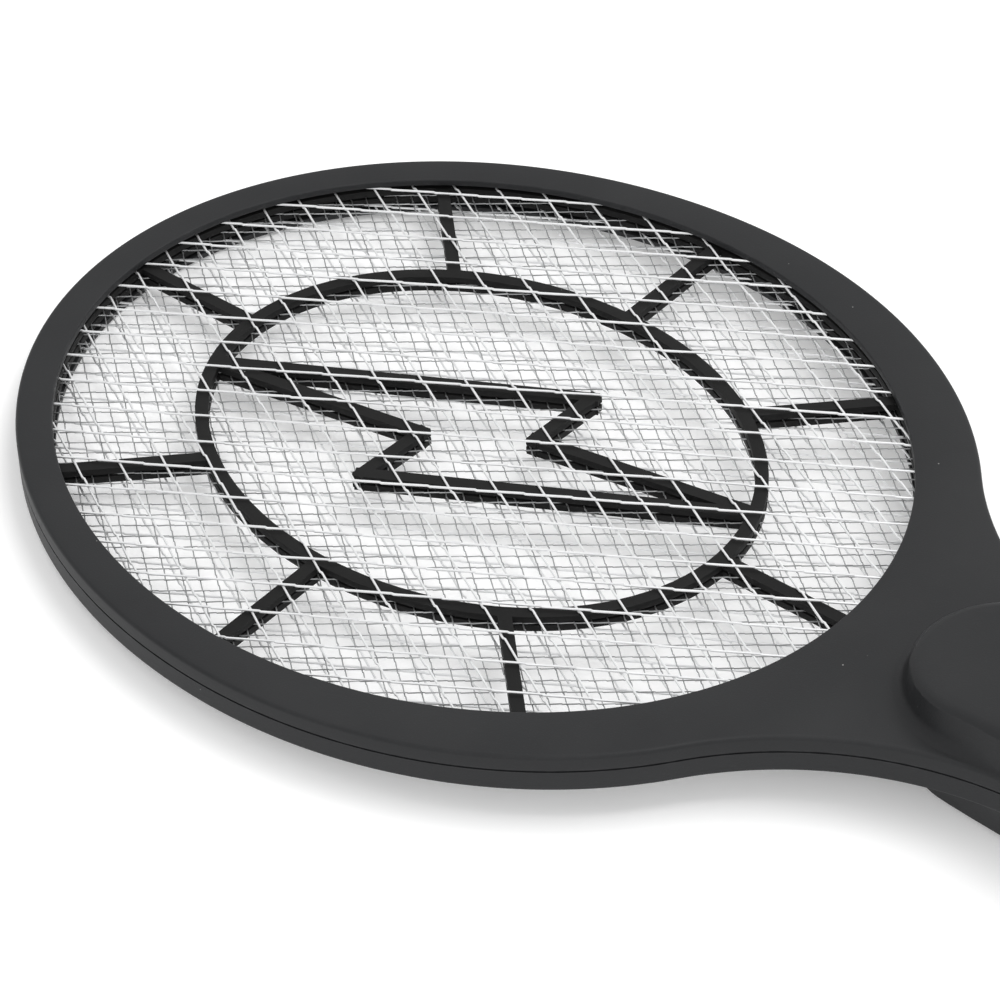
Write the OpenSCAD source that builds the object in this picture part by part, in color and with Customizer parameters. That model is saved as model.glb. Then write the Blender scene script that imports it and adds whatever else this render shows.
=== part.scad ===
// Electric fly swatter: an oval mesh head on a battery handle.
// The handle lies along +X and the head along -X. +Z points out of the front face.
// The origin is under the middle of the whole swatter, level with the back of the handle.

/* [Overall] */
// Length from the tip of the head to the end of the handle
overall_length = 445; // [420:1:560]
// Greatest width of the head
head_width = 195; // [160:1:240]
// Thickness of the head, from face to face
head_thickness = 9.6; // [9.4:0.1:14]
// Width of the handle
handle_width = 43; // [40:0.5:54]
// Thickness of the handle, from back to front
handle_thickness = 31; // [30:0.5:38]
// Thickness of the shell walls
wall = 1.8; // [1.5:0.1:2.2]

/* [Head] */
// Distance from the widest line of the head to its tip
tip_reach = 116; // [95:1:140]
// Distance from the widest line of the head to where its oval would end in the throat
throat_reach = 111; // [90:1:130]
// Angle on the oval where the throat curve leaves it
throat_angle = 34; // [28:1:42]
// Width of the rim at the tip
rim_tip = 8.5; // [8:0.5:14]
// Width of the rim at the sides
rim_side = 10.3; // [9.5:0.1:16]
// Width of the rim where the head meets the throat
rim_throat = 15.5; // [14:0.5:24]
// Thickness of the lip that holds the mesh
lip = 1.6; // [1.2:0.1:2]
// Depth of the groove along the parting line
seam_depth = 0.4; // [0.2:0.1:0.8]
// Height of the groove along the parting line
seam_height = 0.5; // [0.3:0.1:0.8]
// Height of the parting line above the middle of the head
seam_offset = 0.8; // [0:0.1:1.2]

/* [Mesh and ribs] */
// Diameter of the outer mesh wires
outer_wire = 0.55; // [0.4:0.05:0.6]
// Side of one diamond of the outer mesh
outer_cell = 10.66; // [8:0.01:14]
// Angle of the outer wires from the mesh's long diagonal
outer_half_angle = 28.8; // [24:0.1:45]
// Turn of the outer mesh in its frame
outer_turn = 1.9; // [-4:0.1:4]
// Shift of the first family of outer wires, as a share of one cell
outer_shift_first = 0.54; // [0:0.01:1]
// Shift of the second family of outer wires, as a share of one cell
outer_shift_second = 0.76; // [0:0.01:1]
// Diameter of the centre mesh wires
centre_wire = 0.3; // [0.2:0.05:0.35]
// Side of one diamond of the centre mesh
centre_cell = 3.68; // [3.2:0.01:6]
// Angle of the centre wires from the mesh's long diagonal
centre_half_angle = 38.2; // [30:0.1:45]
// Width of the ribs
rib_width = 3; // [1.6:0.1:3.5]
// Distance from the opening's edge to the ring of ribs
ring_inset = 32; // [20:1:40]
// Length of the bolt-shaped rib outline, from tip to tip
bolt_length = 133; // [100:1:134]
// Width of the bolt-shaped rib outline across its corners
bolt_width = 52; // [40:1:60]
// How far the mesh reaches under the lip
mesh_grip = 3; // [2:0.5:3.5]
// Width of the frame that the ribs end in
frame_seat = 5.5; // [4.5:0.5:5.5]

/* [Handle] */
// Distance from the widest line of the head to the nose of the handle
nose_start = 114; // [112:1:120]
// Radius of the nose in plan
nose_radius = 20.5; // [18:0.5:21]
// Height of the nose above the head's face
nose_height = 6.8; // [5:0.2:8]
// Length over which the nose rises to the full thickness
nose_rise = 44; // [30:1:60]
// Radius along the long edges of the handle
edge_radius = 6; // [4:0.5:6]
// Radius of the corners at the end of the handle
butt_radius = 16; // [8:1:20]
// Radius of the hanging hole
hang_radius = 3; // [2:0.5:4]
// Distance from the end of the handle to the hanging hole
hang_inset = 13; // [11:0.5:16]

/* [Controls] */
// Radius of the push button
button_radius = 6.5; // [5:0.5:7]
// Travel of the push button
button_travel = 1.5; // [0.8:0.1:1.5]
// Length of the power slider's knob
slider_length = 9; // [7:0.5:11]
// Width of the power slider's knob
slider_width = 5; // [4:0.5:6]
// Travel of the power slider
slider_travel = 4; // [2:0.5:4]

/* [Electrics] */
// Length of the circuit board
board_length = 70; // [68:1:80]
// Width of the circuit board
board_width = 32; // [30:1:34]
// Thickness of the circuit board
board_thickness = 1.6; // [1:0.1:1.6]
// Length of one AA cell with its button
cell_length = 50.5; // [49.2:0.1:50.5]
// Diameter of one AA cell
cell_diameter = 14.2; // [13.5:0.1:14.5]
// Diameter of the insulated leads
lead_diameter = 1.6; // [1:0.1:1.8]

/* [Hidden] */

// Small gaps between pieces
fit_gap = 0.3;
running_gap = 0.1;
thread_gap = 0.05;
touch_gap = 0.02;
cut = 1;
$fn = 48;
oval_steps = 26;
throat_steps = 12;

// The head's middle and the two face levels
mid_z = handle_thickness / 2;
head_x = tip_reach - overall_length / 2;
head_top = mid_z + head_thickness / 2;
head_bottom = mid_z - head_thickness / 2;
seam_z = mid_z + seam_offset;
handle_end = overall_length - tip_reach;

// The opening in the head, and the ring inside it
opening_x = (rim_tip - rim_throat) / 2 + (throat_reach - tip_reach) / 2;
opening_a = (tip_reach + throat_reach - rim_tip - rim_throat) / 2;
opening_b = head_width / 2 - rim_side;
ring_a = opening_a - ring_inset;
ring_b = opening_b - ring_inset;

// The stack between the lips, measured from the middle of the head
lip_level = head_thickness / 2 - lip;
outer_mesh_level = lip_level - outer_wire - 2 * touch_gap;
rib_top = outer_mesh_level - outer_wire - 2 * touch_gap;
rib_bottom = centre_wire + 2 * touch_gap;

// The terminals of the three meshes
terminal_thickness = 0.3;
terminal_width = 5;
terminal_spread = 14;
terminal_start = opening_x + opening_a + 1;
terminal_length = frame_seat + 4;

// Screws, and the bosses that take them
screw_head_radius = 2.8;
screw_head_height = 2;
screw_recess = 2.4;
screw_radius = 1.45;
screw_thread_depth = 10;
boss_radius = 3.3;
boss_clearance = 6.2;
board_screw_radius = 1;
board_screw_head = [2, 1.2];
board_screw_depth = 5;
board_boss_radius = 2.6;
board_hole_inset = 4;
hang_wall = 2;

// The circuit board, and where its parts stand along it
board_setback = 34;
board_lift = 0.1;
diode_along = 16;
transformer_along = 18;
led_along = 8;
button_along = 28;
capacitor_along = 36;
transistor_along = 42;
slider_along = 52;
board_x = nose_start + board_setback;
board_end = board_x + board_length;
board_top = mid_z + board_lift;
board_bottom = board_top - board_thickness;
under_board = board_bottom - touch_gap;
led_x = board_x + led_along;
button_x = board_x + button_along;
slider_x = board_x + slider_along;
pin = 0.4;
roof_z = handle_thickness - wall;

// The switches under the button and the knob
switch_side = 12;
switch_height = 5;
switch_floor = 1;
plunger_radius = 1.75;
button_flange = [1.4, 1.5];
button_stem_radius = 2.2;
button_proud = 0.5;
button_stem_end = board_top + switch_height + button_travel + pin;
slide_can = [12, 5.6, 8];
slide_stem = [3, 2.4];
slide_depth = 2;
knob_flange = [4, 3, 1];
knob_proud = 1;

// The transformer under the board
transformer_size = [13, 14, 10];
core_wall = 3;
coil_height = transformer_size.z - 2 * core_wall + 1;

// The light above the board
led_radius = 1.5;
led_proud = 0.4;
led_body = 5;

// The battery bay
contact_thickness = 0.4;
contact_height = 11;
contact_width = 12;
spring_length = 6.4;
spring_wire = 0.8;
spring_foot = 4.6;
spring_tip = 3.2;
tray_wall = 1.2;
tray_end_wall = 1.6;
cell_gap = 0.8;
cell_button = [2.7, 1];
cell_y = (cell_diameter + cell_gap) / 2;
door_clear = 1.3;
cell_z = wall + door_clear + cell_diameter / 2;
lead_z = cell_z + 2;
bay_setback = 14;
bay_start = board_end + bay_setback;
bay_length = cell_length + spring_length + 2 * contact_thickness;
bay_end = bay_start + bay_length;
tray_half_width = cell_y + cell_diameter / 2 + cell_gap;
tray_top = cell_z + cell_diameter / 2 + 0.7;
mid_screw_x = board_end + boss_clearance;
end_screw_x = bay_end + tray_end_wall + boss_clearance;
throat_screw = [nose_start + 4, handle_width / 2 + 2.5];
hang_x = handle_end - hang_inset;

// The battery door turns about its own rounded edge, and its tabs hook behind the back wall
window_start = bay_start + 3;
window_end = bay_end - 1.2;
window_half_width = cell_y + cell_diameter / 2 + 0.5;
door_hinge_x = window_start + fit_gap + wall / 2;
tab_reach = 1.5;
tab_thickness = 1;
tab_width = 2.6;
latch_width = 6;
latch_height = 1.6;
grip_groove = [0.8, 16, 0.5];
grip_pitch = 2;

// Outline of an oval about a point on the X axis
function oval(a, b, x = 0) =
    [for (i = [0:4 * oval_steps - 1])
        let(t = 90 * i / oval_steps) [x + a * cos(t), b * sin(t)]];

function mirrored(points) = [for (i = [len(points) - 1:-1:0]) [points[i].x, -points[i].y]];

// Head and throat in plan, moved inward by an inset
function head_plan(inset) =
    let(tip = tip_reach - inset,
        back = throat_reach - inset,
        side = head_width / 2 - inset,
        neck = handle_width / 2 - inset,
        leave = [back * cos(throat_angle), side * sin(throat_angle)],
        slope = [side * cos(throat_angle), back * sin(throat_angle)],
        normal = slope / norm(slope),
        radius = (leave.y - neck) / (1 - normal.y),
        centre = leave + radius * normal,
        from = 180 + atan2(normal.y, normal.x),
        half = concat(
            [for (i = [1:oval_steps])
                let(t = 180 - 90 * i / oval_steps) [tip * cos(t), side * sin(t)]],
            [for (i = [1:oval_steps])
                let(t = 90 - (90 - throat_angle) * i / oval_steps)
                [back * cos(t), side * sin(t)]],
            [for (i = [1:throat_steps])
                let(t = from + (270 - from) * i / throat_steps)
                [centre.x + radius * cos(t), centre.y + radius * sin(t)]]))
    concat([[-tip, 0]], half, mirrored(half));

// Handle in plan, moved inward by an inset
function handle_plan(inset) =
    let(nose = nose_radius - inset,
        nose_x = nose_start + nose_radius,
        side = handle_width / 2 - inset,
        corner = butt_radius - inset,
        corner_x = handle_end - butt_radius,
        half = concat(
            [for (i = [1:throat_steps])
                let(t = 180 - 90 * i / throat_steps) [nose_x + nose * cos(t), nose * sin(t)]],
            [[nose_start + nose_rise + inset, side]],
            [for (i = [0:throat_steps])
                let(t = 90 - 90 * i / throat_steps)
                [corner_x + corner * cos(t), side - corner + corner * sin(t)]]))
    concat([[nose_x - nose, 0]], half, mirrored(half));

// Handle seen from the side, moved inward by an inset
function handle_profile(inset) =
    let(low = head_thickness / 2 + nose_height - inset,
        high = handle_thickness / 2 - inset,
        start = nose_start + inset,
        end = handle_end - inset,
        chamfer = edge_radius - inset / 2)
    [[start, -low], [nose_start + nose_rise, -high], [end - chamfer, -high],
        [end, -high + chamfer], [end, high - chamfer], [end - chamfer, high],
        [nose_start + nose_rise, high], [start, low]];

// Length along a line where it crosses an oval: first and last distance from the foot point
function crossing(a, b, angle, offset) =
    let(u = [cos(angle), sin(angle)],
        p = [-sin(angle) * offset, cos(angle) * offset],
        qa = pow(u.x / a, 2) + pow(u.y / b, 2),
        qb = 2 * (p.x * u.x / (a * a) + p.y * u.y / (b * b)),
        qc = pow(p.x / a, 2) + pow(p.y / b, 2) - 1,
        root = qb * qb - 4 * qa * qc)
    root <= 0 ? [0, 0] : [(-qb - sqrt(root)) / (2 * qa), (-qb + sqrt(root)) / (2 * qa)];

// Rings of points around a path, for leads and springs
function path_ring(path, i, radius, sides) =
    let(before = path[max(i - 1, 0)],
        after = path[min(i + 1, len(path) - 1)],
        along = (after - before) / norm(after - before),
        guide = abs(along.z) < 0.9 ? [0, 0, 1] : [0, 1, 0],
        across = cross(along, guide) / norm(cross(along, guide)),
        up = cross(across, along))
    [for (k = [0:sides - 1])
        let(t = 360 * k / sides) path[i] + radius * (cos(t) * across + sin(t) * up)];

module tube(path, radius, sides = 8) {
    last = (len(path) - 1) * sides;
    rings = [for (i = [0:len(path) - 1]) each path_ring(path, i, radius, sides)];
    walls = [for (i = [0:len(path) - 2], k = [0:sides - 1])
        let(j = (k + 1) % sides, a = i * sides)
        each [[a + k, a + sides + k, a + sides + j], [a + k, a + sides + j, a + j]]];
    ends = [[for (k = [0:sides - 1]) k], [for (k = [sides - 1:-1:0]) last + k]];
    polyhedron(points = rings, faces = concat(walls, ends), convexity = 4);
}

module slab(from_z, to_z) {
    translate([0, 0, from_z]) linear_extrude(to_z - from_z) children();
}

module head_outline(inset = 0) {
    polygon(head_plan(inset));
}

module whole_outline(inset) {
    head_outline(inset);
    polygon(handle_plan(inset));
}

// Rounded bar that the handle is cut from, with its nose, slope and end
module handle_block(inset) {
    half_width = handle_width / 2 - inset;
    half_height = handle_thickness / 2 - inset;
    radius = edge_radius - inset;
    intersection() {
        slab(0, handle_thickness) polygon(handle_plan(inset));
        translate([0, handle_width, mid_z])
            rotate([90, 0, 0]) linear_extrude(2 * handle_width) polygon(handle_profile(inset));
        translate([0, 0, mid_z]) rotate([90, 0, 90]) linear_extrude(handle_end + cut) {
            square([2 * half_width, 2 * (half_height - radius)], center = true);
            square([2 * (half_width - radius), 2 * half_height], center = true);
            for (side = [-1, 1], level = [-1, 1])
                translate([side * (half_width - radius), level * (half_height - radius)])
                    circle(radius);
        }
    }
}

module solid_body() {
    slab(head_bottom, head_top) head_outline();
    handle_block(0);
}

module cavity() {
    slab(mid_z - lip_level, mid_z + lip_level) head_outline(wall);
    handle_block(wall);
}

module opening_cut() {
    slab(-cut, handle_thickness + cut) polygon(oval(opening_a, opening_b, opening_x));
}

module seam_groove() {
    slab(seam_z - seam_height / 2, seam_z + seam_height / 2) difference() {
        translate([-overall_length, -head_width]) square([2 * overall_length, 2 * head_width]);
        whole_outline(seam_depth);
    }
}

// One half of the casing: the body between two levels, hollowed out
module half_shell(from_z, to_z) {
    difference() {
        intersection() {
            solid_body();
            slab(from_z, to_z)
                translate([-overall_length, -head_width])
                    square([2 * overall_length, 2 * head_width]);
        }
        cavity();
        opening_cut();
        seam_groove();
    }
}

module at_case_screws() {
    for (side = [-1, 1])
        translate([throat_screw.x, side * throat_screw.y, head_bottom]) children();
    for (x = [mid_screw_x, end_screw_x])
        translate([x, 0, 0]) children();
}

module at_board_screws() {
    for (x = [board_x + board_hole_inset, board_x + board_length - board_hole_inset])
        for (side = [-1, 1])
            translate([x, side * (board_width / 2 - board_hole_inset), 0]) children();
}

module front_shell() {
    color([0.23, 0.23, 0.24]) translate([head_x, 0, 0]) difference() {
        union() {
            half_shell(seam_z, handle_thickness);
            for (side = [-1, 1])
                translate([throat_screw.x, side * throat_screw.y, seam_z])
                    cylinder(r = boss_radius, h = head_top - lip / 2 - seam_z);
            for (x = [mid_screw_x, end_screw_x])
                translate([x, 0, seam_z])
                    cylinder(r = boss_radius, h = roof_z + wall / 2 - seam_z);
            translate([hang_x, 0, seam_z])
                cylinder(r = hang_radius + hang_wall, h = roof_z + wall / 2 - seam_z);
        }
        for (side = [-1, 1])
            translate([throat_screw.x, side * throat_screw.y, seam_z - cut])
                cylinder(r = screw_radius + thread_gap, h = head_top - lip - seam_z + cut);
        for (x = [mid_screw_x, end_screw_x])
            translate([x, 0, seam_z - cut])
                cylinder(r = screw_radius + thread_gap, h = screw_thread_depth + cut);
        translate([hang_x, 0, 0]) cylinder(r = hang_radius, h = handle_thickness + cut);
        translate([led_x, 0, mid_z]) cylinder(r = led_radius + running_gap, h = handle_thickness);
        translate([button_x, 0, mid_z])
            cylinder(r = button_radius + 2 * running_gap, h = handle_thickness);
        translate([slider_x - slider_length / 2 - fit_gap, -slider_width / 2 - fit_gap, mid_z])
            cube([slider_length + slider_travel + 2 * fit_gap, slider_width + 2 * fit_gap,
                handle_thickness]);
    }
}

// Open-topped tray that holds the cells, joined to the back wall around the door window
module battery_tray() {
    start = bay_start - tray_end_wall;
    length = bay_length + 2 * tray_end_wall;
    half = tray_half_width + tray_wall;
    difference() {
        translate([start, -half, wall / 2])
            cube([length, 2 * half, tray_top + tray_wall - wall / 2]);
        translate([bay_start, -tray_half_width, -cut])
            cube([bay_length, 2 * tray_half_width, tray_top + cut]);
        for (side = [-1, 1])
            translate([start - cut, side * cell_y, lead_z]) rotate([0, 90, 0])
                cylinder(d = lead_diameter + 2 * running_gap, h = tray_end_wall + 2 * cut);
    }
}

module rear_shell() {
    color([0.21, 0.21, 0.22]) translate([head_x, 0, 0]) difference() {
        union() {
            half_shell(0, seam_z);
            battery_tray();
            for (side = [-1, 1])
                translate([throat_screw.x, side * throat_screw.y, head_bottom + lip / 2])
                    cylinder(r = boss_radius, h = seam_z - head_bottom - lip / 2);
            for (x = [mid_screw_x, end_screw_x])
                translate([x, 0, wall / 2]) cylinder(r = boss_radius, h = seam_z - wall / 2);
            translate([hang_x, 0, wall / 2])
                cylinder(r = hang_radius + hang_wall, h = seam_z - wall / 2);
            at_board_screws() translate([0, 0, wall / 2])
                cylinder(r = board_boss_radius, h = board_bottom - wall / 2);
        }
        at_case_screws() {
            translate([0, 0, -cut])
                cylinder(r = screw_head_radius + fit_gap, h = screw_recess + cut);
            cylinder(r = screw_radius + fit_gap, h = handle_thickness);
        }
        at_board_screws() translate([0, 0, board_bottom - board_screw_depth - cut])
            cylinder(r = board_screw_radius + thread_gap, h = board_screw_depth + 2 * cut);
        translate([hang_x, 0, -cut]) cylinder(r = hang_radius, h = handle_thickness);
        translate([window_start, -window_half_width, -cut])
            cube([window_end - window_start, 2 * window_half_width, wall + 2 * cut]);
    }
}

// Two crossed families of straight wires, each wire cut off at the edge of an oval
module wire_mesh(wire, cell, half_angle, turn, shifts) {
    a = opening_a + mesh_grip;
    b = opening_b + mesh_grip;
    pitch = cell * sin(2 * half_angle);
    count = ceil(a / pitch);
    for (i = [0, 1], k = [-count:count]) {
        family = 2 * i - 1;
        angle = turn + family * half_angle;
        offset = (k + shifts[i]) * pitch;
        reach = crossing(a, b, angle, offset);
        if (reach[1] - reach[0] > 2 * cell)
            translate([opening_x, 0, family * (wire + touch_gap) / 2])
                rotate([0, 0, angle]) translate([reach[0], offset, 0])
                    rotate([0, 90, 0]) cylinder(d = wire, h = reach[1] - reach[0], $fn = 16);
    }
}

module outer_mesh(side) {
    color([0.86, 0.87, 0.88]) translate([head_x, 0, mid_z + side * outer_mesh_level])
        wire_mesh(outer_wire, outer_cell, outer_half_angle, outer_turn,
            [outer_shift_first, outer_shift_second]);
}

module front_mesh() {
    outer_mesh(1);
}

module rear_mesh() {
    outer_mesh(-1);
}

module centre_mesh() {
    color([0.8, 0.81, 0.82]) translate([head_x, 0, mid_z])
        wire_mesh(centre_wire, centre_cell, centre_half_angle, 0, [0, 0]);
}

module rib(from, to) {
    along = to - from;
    translate(from) rotate(atan2(along.y, along.x)) translate([-rib_width / 2, -rib_width / 2])
        square([norm(along) + rib_width, rib_width]);
}

// Outline of a lightning bolt, the same when turned half round
module bolt_outline() {
    tip = [bolt_length / 2 - 1, bolt_width * 0.32];
    corner = [bolt_width * 0.23, bolt_width / 2];
    notch = [bolt_width * 0.21, bolt_width * 0.13];
    points = [-tip, corner, notch, tip, -corner, -notch];
    for (i = [0:5])
        rib(points[i], points[(i + 1) % 6]);
}

// Frame, eight spokes, ring and bolt of one rib layer
module rib_plan() {
    translate([opening_x, 0]) {
        difference() {
            polygon(oval(opening_a + frame_seat, opening_b + frame_seat));
            polygon(oval(opening_a + fit_gap, opening_b + fit_gap));
        }
        difference() {
            intersection() {
                polygon(oval(opening_a + 2 * fit_gap, opening_b + 2 * fit_gap));
                for (turn = [0:45:135])
                    rotate(turn) square([2 * head_width, rib_width], center = true);
            }
            polygon(oval(ring_a - rib_width / 2, ring_b - rib_width / 2));
        }
        difference() {
            polygon(oval(ring_a, ring_b));
            polygon(oval(ring_a - rib_width, ring_b - rib_width));
        }
        intersection() {
            polygon(oval(ring_a - rib_width / 2, ring_b - rib_width / 2));
            bolt_outline();
        }
    }
}

// Pocket or strip for a mesh terminal, between two levels from the middle of the head
module terminal_strip(y, from_z, to_z, spare = 0) {
    translate([terminal_start - spare, y - terminal_width / 2 - spare, from_z])
        cube([terminal_length + 2 * spare, terminal_width + 2 * spare, to_z - from_z]);
}

module front_ribs() {
    color([0.14, 0.14, 0.14]) translate([head_x, 0, mid_z]) difference() {
        slab(rib_bottom, rib_top) rib_plan();
        terminal_strip(terminal_spread, rib_top - terminal_thickness - touch_gap,
            rib_top + cut, running_gap);
        terminal_strip(0, rib_bottom - cut, rib_bottom + terminal_thickness + touch_gap,
            running_gap);
    }
}

module rear_ribs() {
    color([0.13, 0.13, 0.13]) translate([head_x, 0, mid_z]) difference() {
        slab(-rib_top, -rib_bottom) rib_plan();
        terminal_strip(-terminal_spread, -rib_top - cut,
            -rib_top + terminal_thickness + touch_gap, running_gap);
    }
}

module front_terminal() {
    color([0.75, 0.74, 0.68]) translate([head_x, 0, mid_z])
        terminal_strip(terminal_spread, rib_top - terminal_thickness, rib_top);
}

module centre_terminal() {
    color([0.75, 0.74, 0.68]) translate([head_x, 0, mid_z])
        terminal_strip(0, rib_bottom, rib_bottom + terminal_thickness);
}

module rear_terminal() {
    color([0.75, 0.74, 0.68]) translate([head_x, 0, mid_z])
        terminal_strip(-terminal_spread, -rib_top, -rib_top + terminal_thickness);
}

// Insulated lead from a mesh terminal, through the throat, onto the circuit board
module mesh_lead(y, level) {
    start = terminal_start + terminal_length + touch_gap;
    rest = board_top - mid_z + lead_diameter / 2 + touch_gap;
    path = [[start, y, level], [start + 6, y, level], [start + 16, y * 0.8, (level + rest) / 2],
        [start + 26, y * 0.5, rest], [start + 36, y * 0.4, rest],
        [board_x + 5, y * 0.4, rest]];
    translate([head_x, 0, mid_z]) tube(path, lead_diameter / 2);
}

module front_lead() {
    color([0.7, 0.1, 0.08]) mesh_lead(terminal_spread, rib_top - terminal_thickness / 2);
}

module centre_lead() {
    color([0.85, 0.84, 0.8]) mesh_lead(0, rib_bottom + terminal_thickness / 2);
}

module rear_lead() {
    color([0.08, 0.08, 0.09]) mesh_lead(-terminal_spread, terminal_thickness / 2 - rib_top);
}

module circuit_board() {
    color([0.12, 0.36, 0.2]) translate([head_x, 0, 0]) difference() {
        translate([board_x, -board_width / 2, board_bottom])
            cube([board_length, board_width, board_thickness]);
        at_board_screws() translate([0, 0, board_bottom - cut])
            cylinder(r = board_screw_radius + fit_gap, h = board_thickness + 2 * cut);
    }
}

module board_screws() {
    color([0.7, 0.7, 0.72]) translate([head_x, 0, 0]) at_board_screws() {
        translate([0, 0, board_top]) cylinder(r = board_screw_head[0], h = board_screw_head[1]);
        translate([0, 0, board_bottom - board_screw_depth])
            cylinder(r = board_screw_radius, h = board_screw_depth + board_thickness + fit_gap);
    }
}

module at_transformer() {
    translate([head_x + board_x + transformer_along, 0, under_board - transformer_size.z / 2])
        children();
}

module transformer_core() {
    size = transformer_size;
    color([0.2, 0.2, 0.22]) at_transformer() {
        difference() {
            cube(size, center = true);
            cube([size.x - 2 * core_wall, size.y + cut, coil_height], center = true);
        }
        cube([core_wall, core_wall, size.z - core_wall], center = true);
    }
}

module transformer_coil() {
    size = transformer_size;
    hole = core_wall + 2 * running_gap;
    color([0.85, 0.7, 0.2]) at_transformer() difference() {
        cube([size.x - 2 * core_wall - 2 * running_gap, size.y - 1, coil_height - 2 * running_gap],
            center = true);
        cube([hole, hole, size.z], center = true);
    }
}

module storage_capacitor() {
    size = [15, 7, 9];
    color([0.6, 0.16, 0.1])
        translate([head_x + board_x + capacitor_along, 4, under_board - size.z]) cube(size);
}

module transistor() {
    radius = 2.3;
    height = 4.5;
    leg = 1.5;
    leg_pitch = 1.27;
    translate([head_x + board_x + transistor_along, -8, under_board - leg]) {
        color([0.1, 0.1, 0.1]) translate([0, 0, -height]) difference() {
            cylinder(r = radius, h = height);
            translate([-height, radius - 1, -cut]) cube([2 * height, height, 2 * height]);
        }
        color([0.75, 0.75, 0.75]) for (step = [-1, 0, 1])
            translate([leg_pitch * step - pin / 2, -pin / 2, 0]) cube([pin, pin, leg]);
    }
}

// Axial component lying on the board: a round body with a bent lead at each end
module axial_component(along, y, radius, length, tint) {
    leg_radius = 0.3;
    level = board_top + radius + pin;
    reach = length + 4;
    translate([head_x + board_x + along, y, 0]) {
        color(tint) translate([0, 0, level]) rotate([0, 90, 0])
            cylinder(r = radius, h = length, center = true);
        color([0.75, 0.75, 0.75]) translate([0, 0, level]) rotate([0, 90, 0])
            cylinder(r = leg_radius, h = reach, center = true);
        color([0.75, 0.75, 0.75]) for (side = [-1, 1])
            translate([side * (reach / 2 - leg_radius), 0, board_top + touch_gap])
                cylinder(r = leg_radius, h = level - board_top);
    }
}

module diodes() {
    for (y = [-9, 9])
        axial_component(diode_along, y, 1.3, 5, [0.08, 0.08, 0.08]);
}

module resistors() {
    for (y = [-11, 11])
        axial_component(transistor_along, y, 1.1, 6, [0.8, 0.66, 0.45]);
}

// Height of the handle's top at a distance along the handle
function handle_top(x) =
    let(rise = handle_thickness / 2 - head_thickness / 2 - nose_height,
        share = min(1, (x - nose_start) / nose_rise))
    mid_z + head_thickness / 2 + nose_height + rise * share;

module indicator_led() {
    tip = handle_top(led_x) + led_proud;
    leg = tip - led_body + pin - board_top;
    translate([head_x + led_x, 0, 0]) {
        color([0.85, 0.15, 0.1]) {
            translate([0, 0, tip - led_radius]) sphere(led_radius);
            translate([0, 0, tip - led_body]) cylinder(r = led_radius, h = led_body - led_radius);
        }
        color([0.75, 0.75, 0.75]) for (side = [-1, 1])
            translate([side * 2 * pin - pin / 2, -pin / 2, board_top + touch_gap])
                cube([pin, pin, leg]);
    }
}

module switch_body() {
    color([0.12, 0.12, 0.13]) translate([head_x + button_x, 0, board_top + touch_gap])
        difference() {
            translate([-switch_side / 2, -switch_side / 2, 0])
                cube([switch_side, switch_side, switch_height]);
            translate([0, 0, switch_floor])
                cylinder(r = plunger_radius + running_gap, h = switch_height);
        }
}

module switch_plunger() {
    start = board_top + switch_floor + button_travel + 2 * running_gap;
    color([0.85, 0.85, 0.82]) translate([head_x + button_x, 0, start])
        cylinder(r = plunger_radius, h = button_stem_end - start);
}

module push_button() {
    foot = roof_z - 2;
    flange_top = roof_z - running_gap;
    color([0.16, 0.16, 0.17]) translate([head_x + button_x, 0, 0]) {
        translate([0, 0, foot])
            cylinder(r = button_radius, h = handle_thickness + button_travel + button_proud - foot);
        translate([0, 0, flange_top - button_flange[1]])
            cylinder(r = button_radius + button_flange[0], h = button_flange[1]);
        translate([0, 0, button_stem_end])
            cylinder(r = button_stem_radius, h = foot + fit_gap - button_stem_end);
    }
}

module slide_switch_body() {
    slot = [slide_stem.x + slider_travel + 2 * fit_gap, slide_stem.y + 2 * fit_gap];
    color([0.72, 0.73, 0.74]) translate([head_x + slider_x, 0, board_top + touch_gap])
        difference() {
            translate([(slider_travel - slide_can.x) / 2, -slide_can.y / 2, 0]) cube(slide_can);
            translate([-slide_stem.x / 2 - fit_gap, -slot.y / 2, slide_can.z - slide_depth])
                cube([slot.x, slot.y, slide_depth + cut]);
        }
}

module power_slider() {
    stem_end = board_top + slide_can.z - slide_depth + 2 * fit_gap;
    flange_top = roof_z - 2 * running_gap;
    color([0.16, 0.16, 0.17]) translate([head_x + slider_x, 0, 0]) {
        translate([-slider_length / 2, -slider_width / 2, flange_top - knob_flange.z])
            cube([slider_length, slider_width,
                handle_thickness + knob_proud - flange_top + knob_flange.z]);
        translate([-(slider_length + knob_flange.x) / 2, -(slider_width + knob_flange.y) / 2,
            flange_top - knob_flange.z])
            cube([slider_length + knob_flange.x, slider_width + knob_flange.y, knob_flange.z]);
        translate([-slide_stem.x / 2, -slide_stem.y / 2, stem_end])
            cube([slide_stem.x, slide_stem.y, flange_top - knob_flange.z / 2 - stem_end]);
    }
}

// Flat contact plate standing at one end of the bay
module contact_plate(x, y, width) {
    color([0.78, 0.77, 0.72])
        translate([head_x + x, y - width / 2, cell_z - contact_height / 2])
            cube([contact_thickness, width, contact_height]);
}

module battery_positive() {
    contact_plate(bay_start, -cell_y, contact_width);
}

module battery_negative() {
    contact_plate(bay_start, cell_y, contact_width);
}

module battery_link() {
    contact_plate(bay_end - contact_thickness, 0, 2 * cell_y + contact_width);
}

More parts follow.
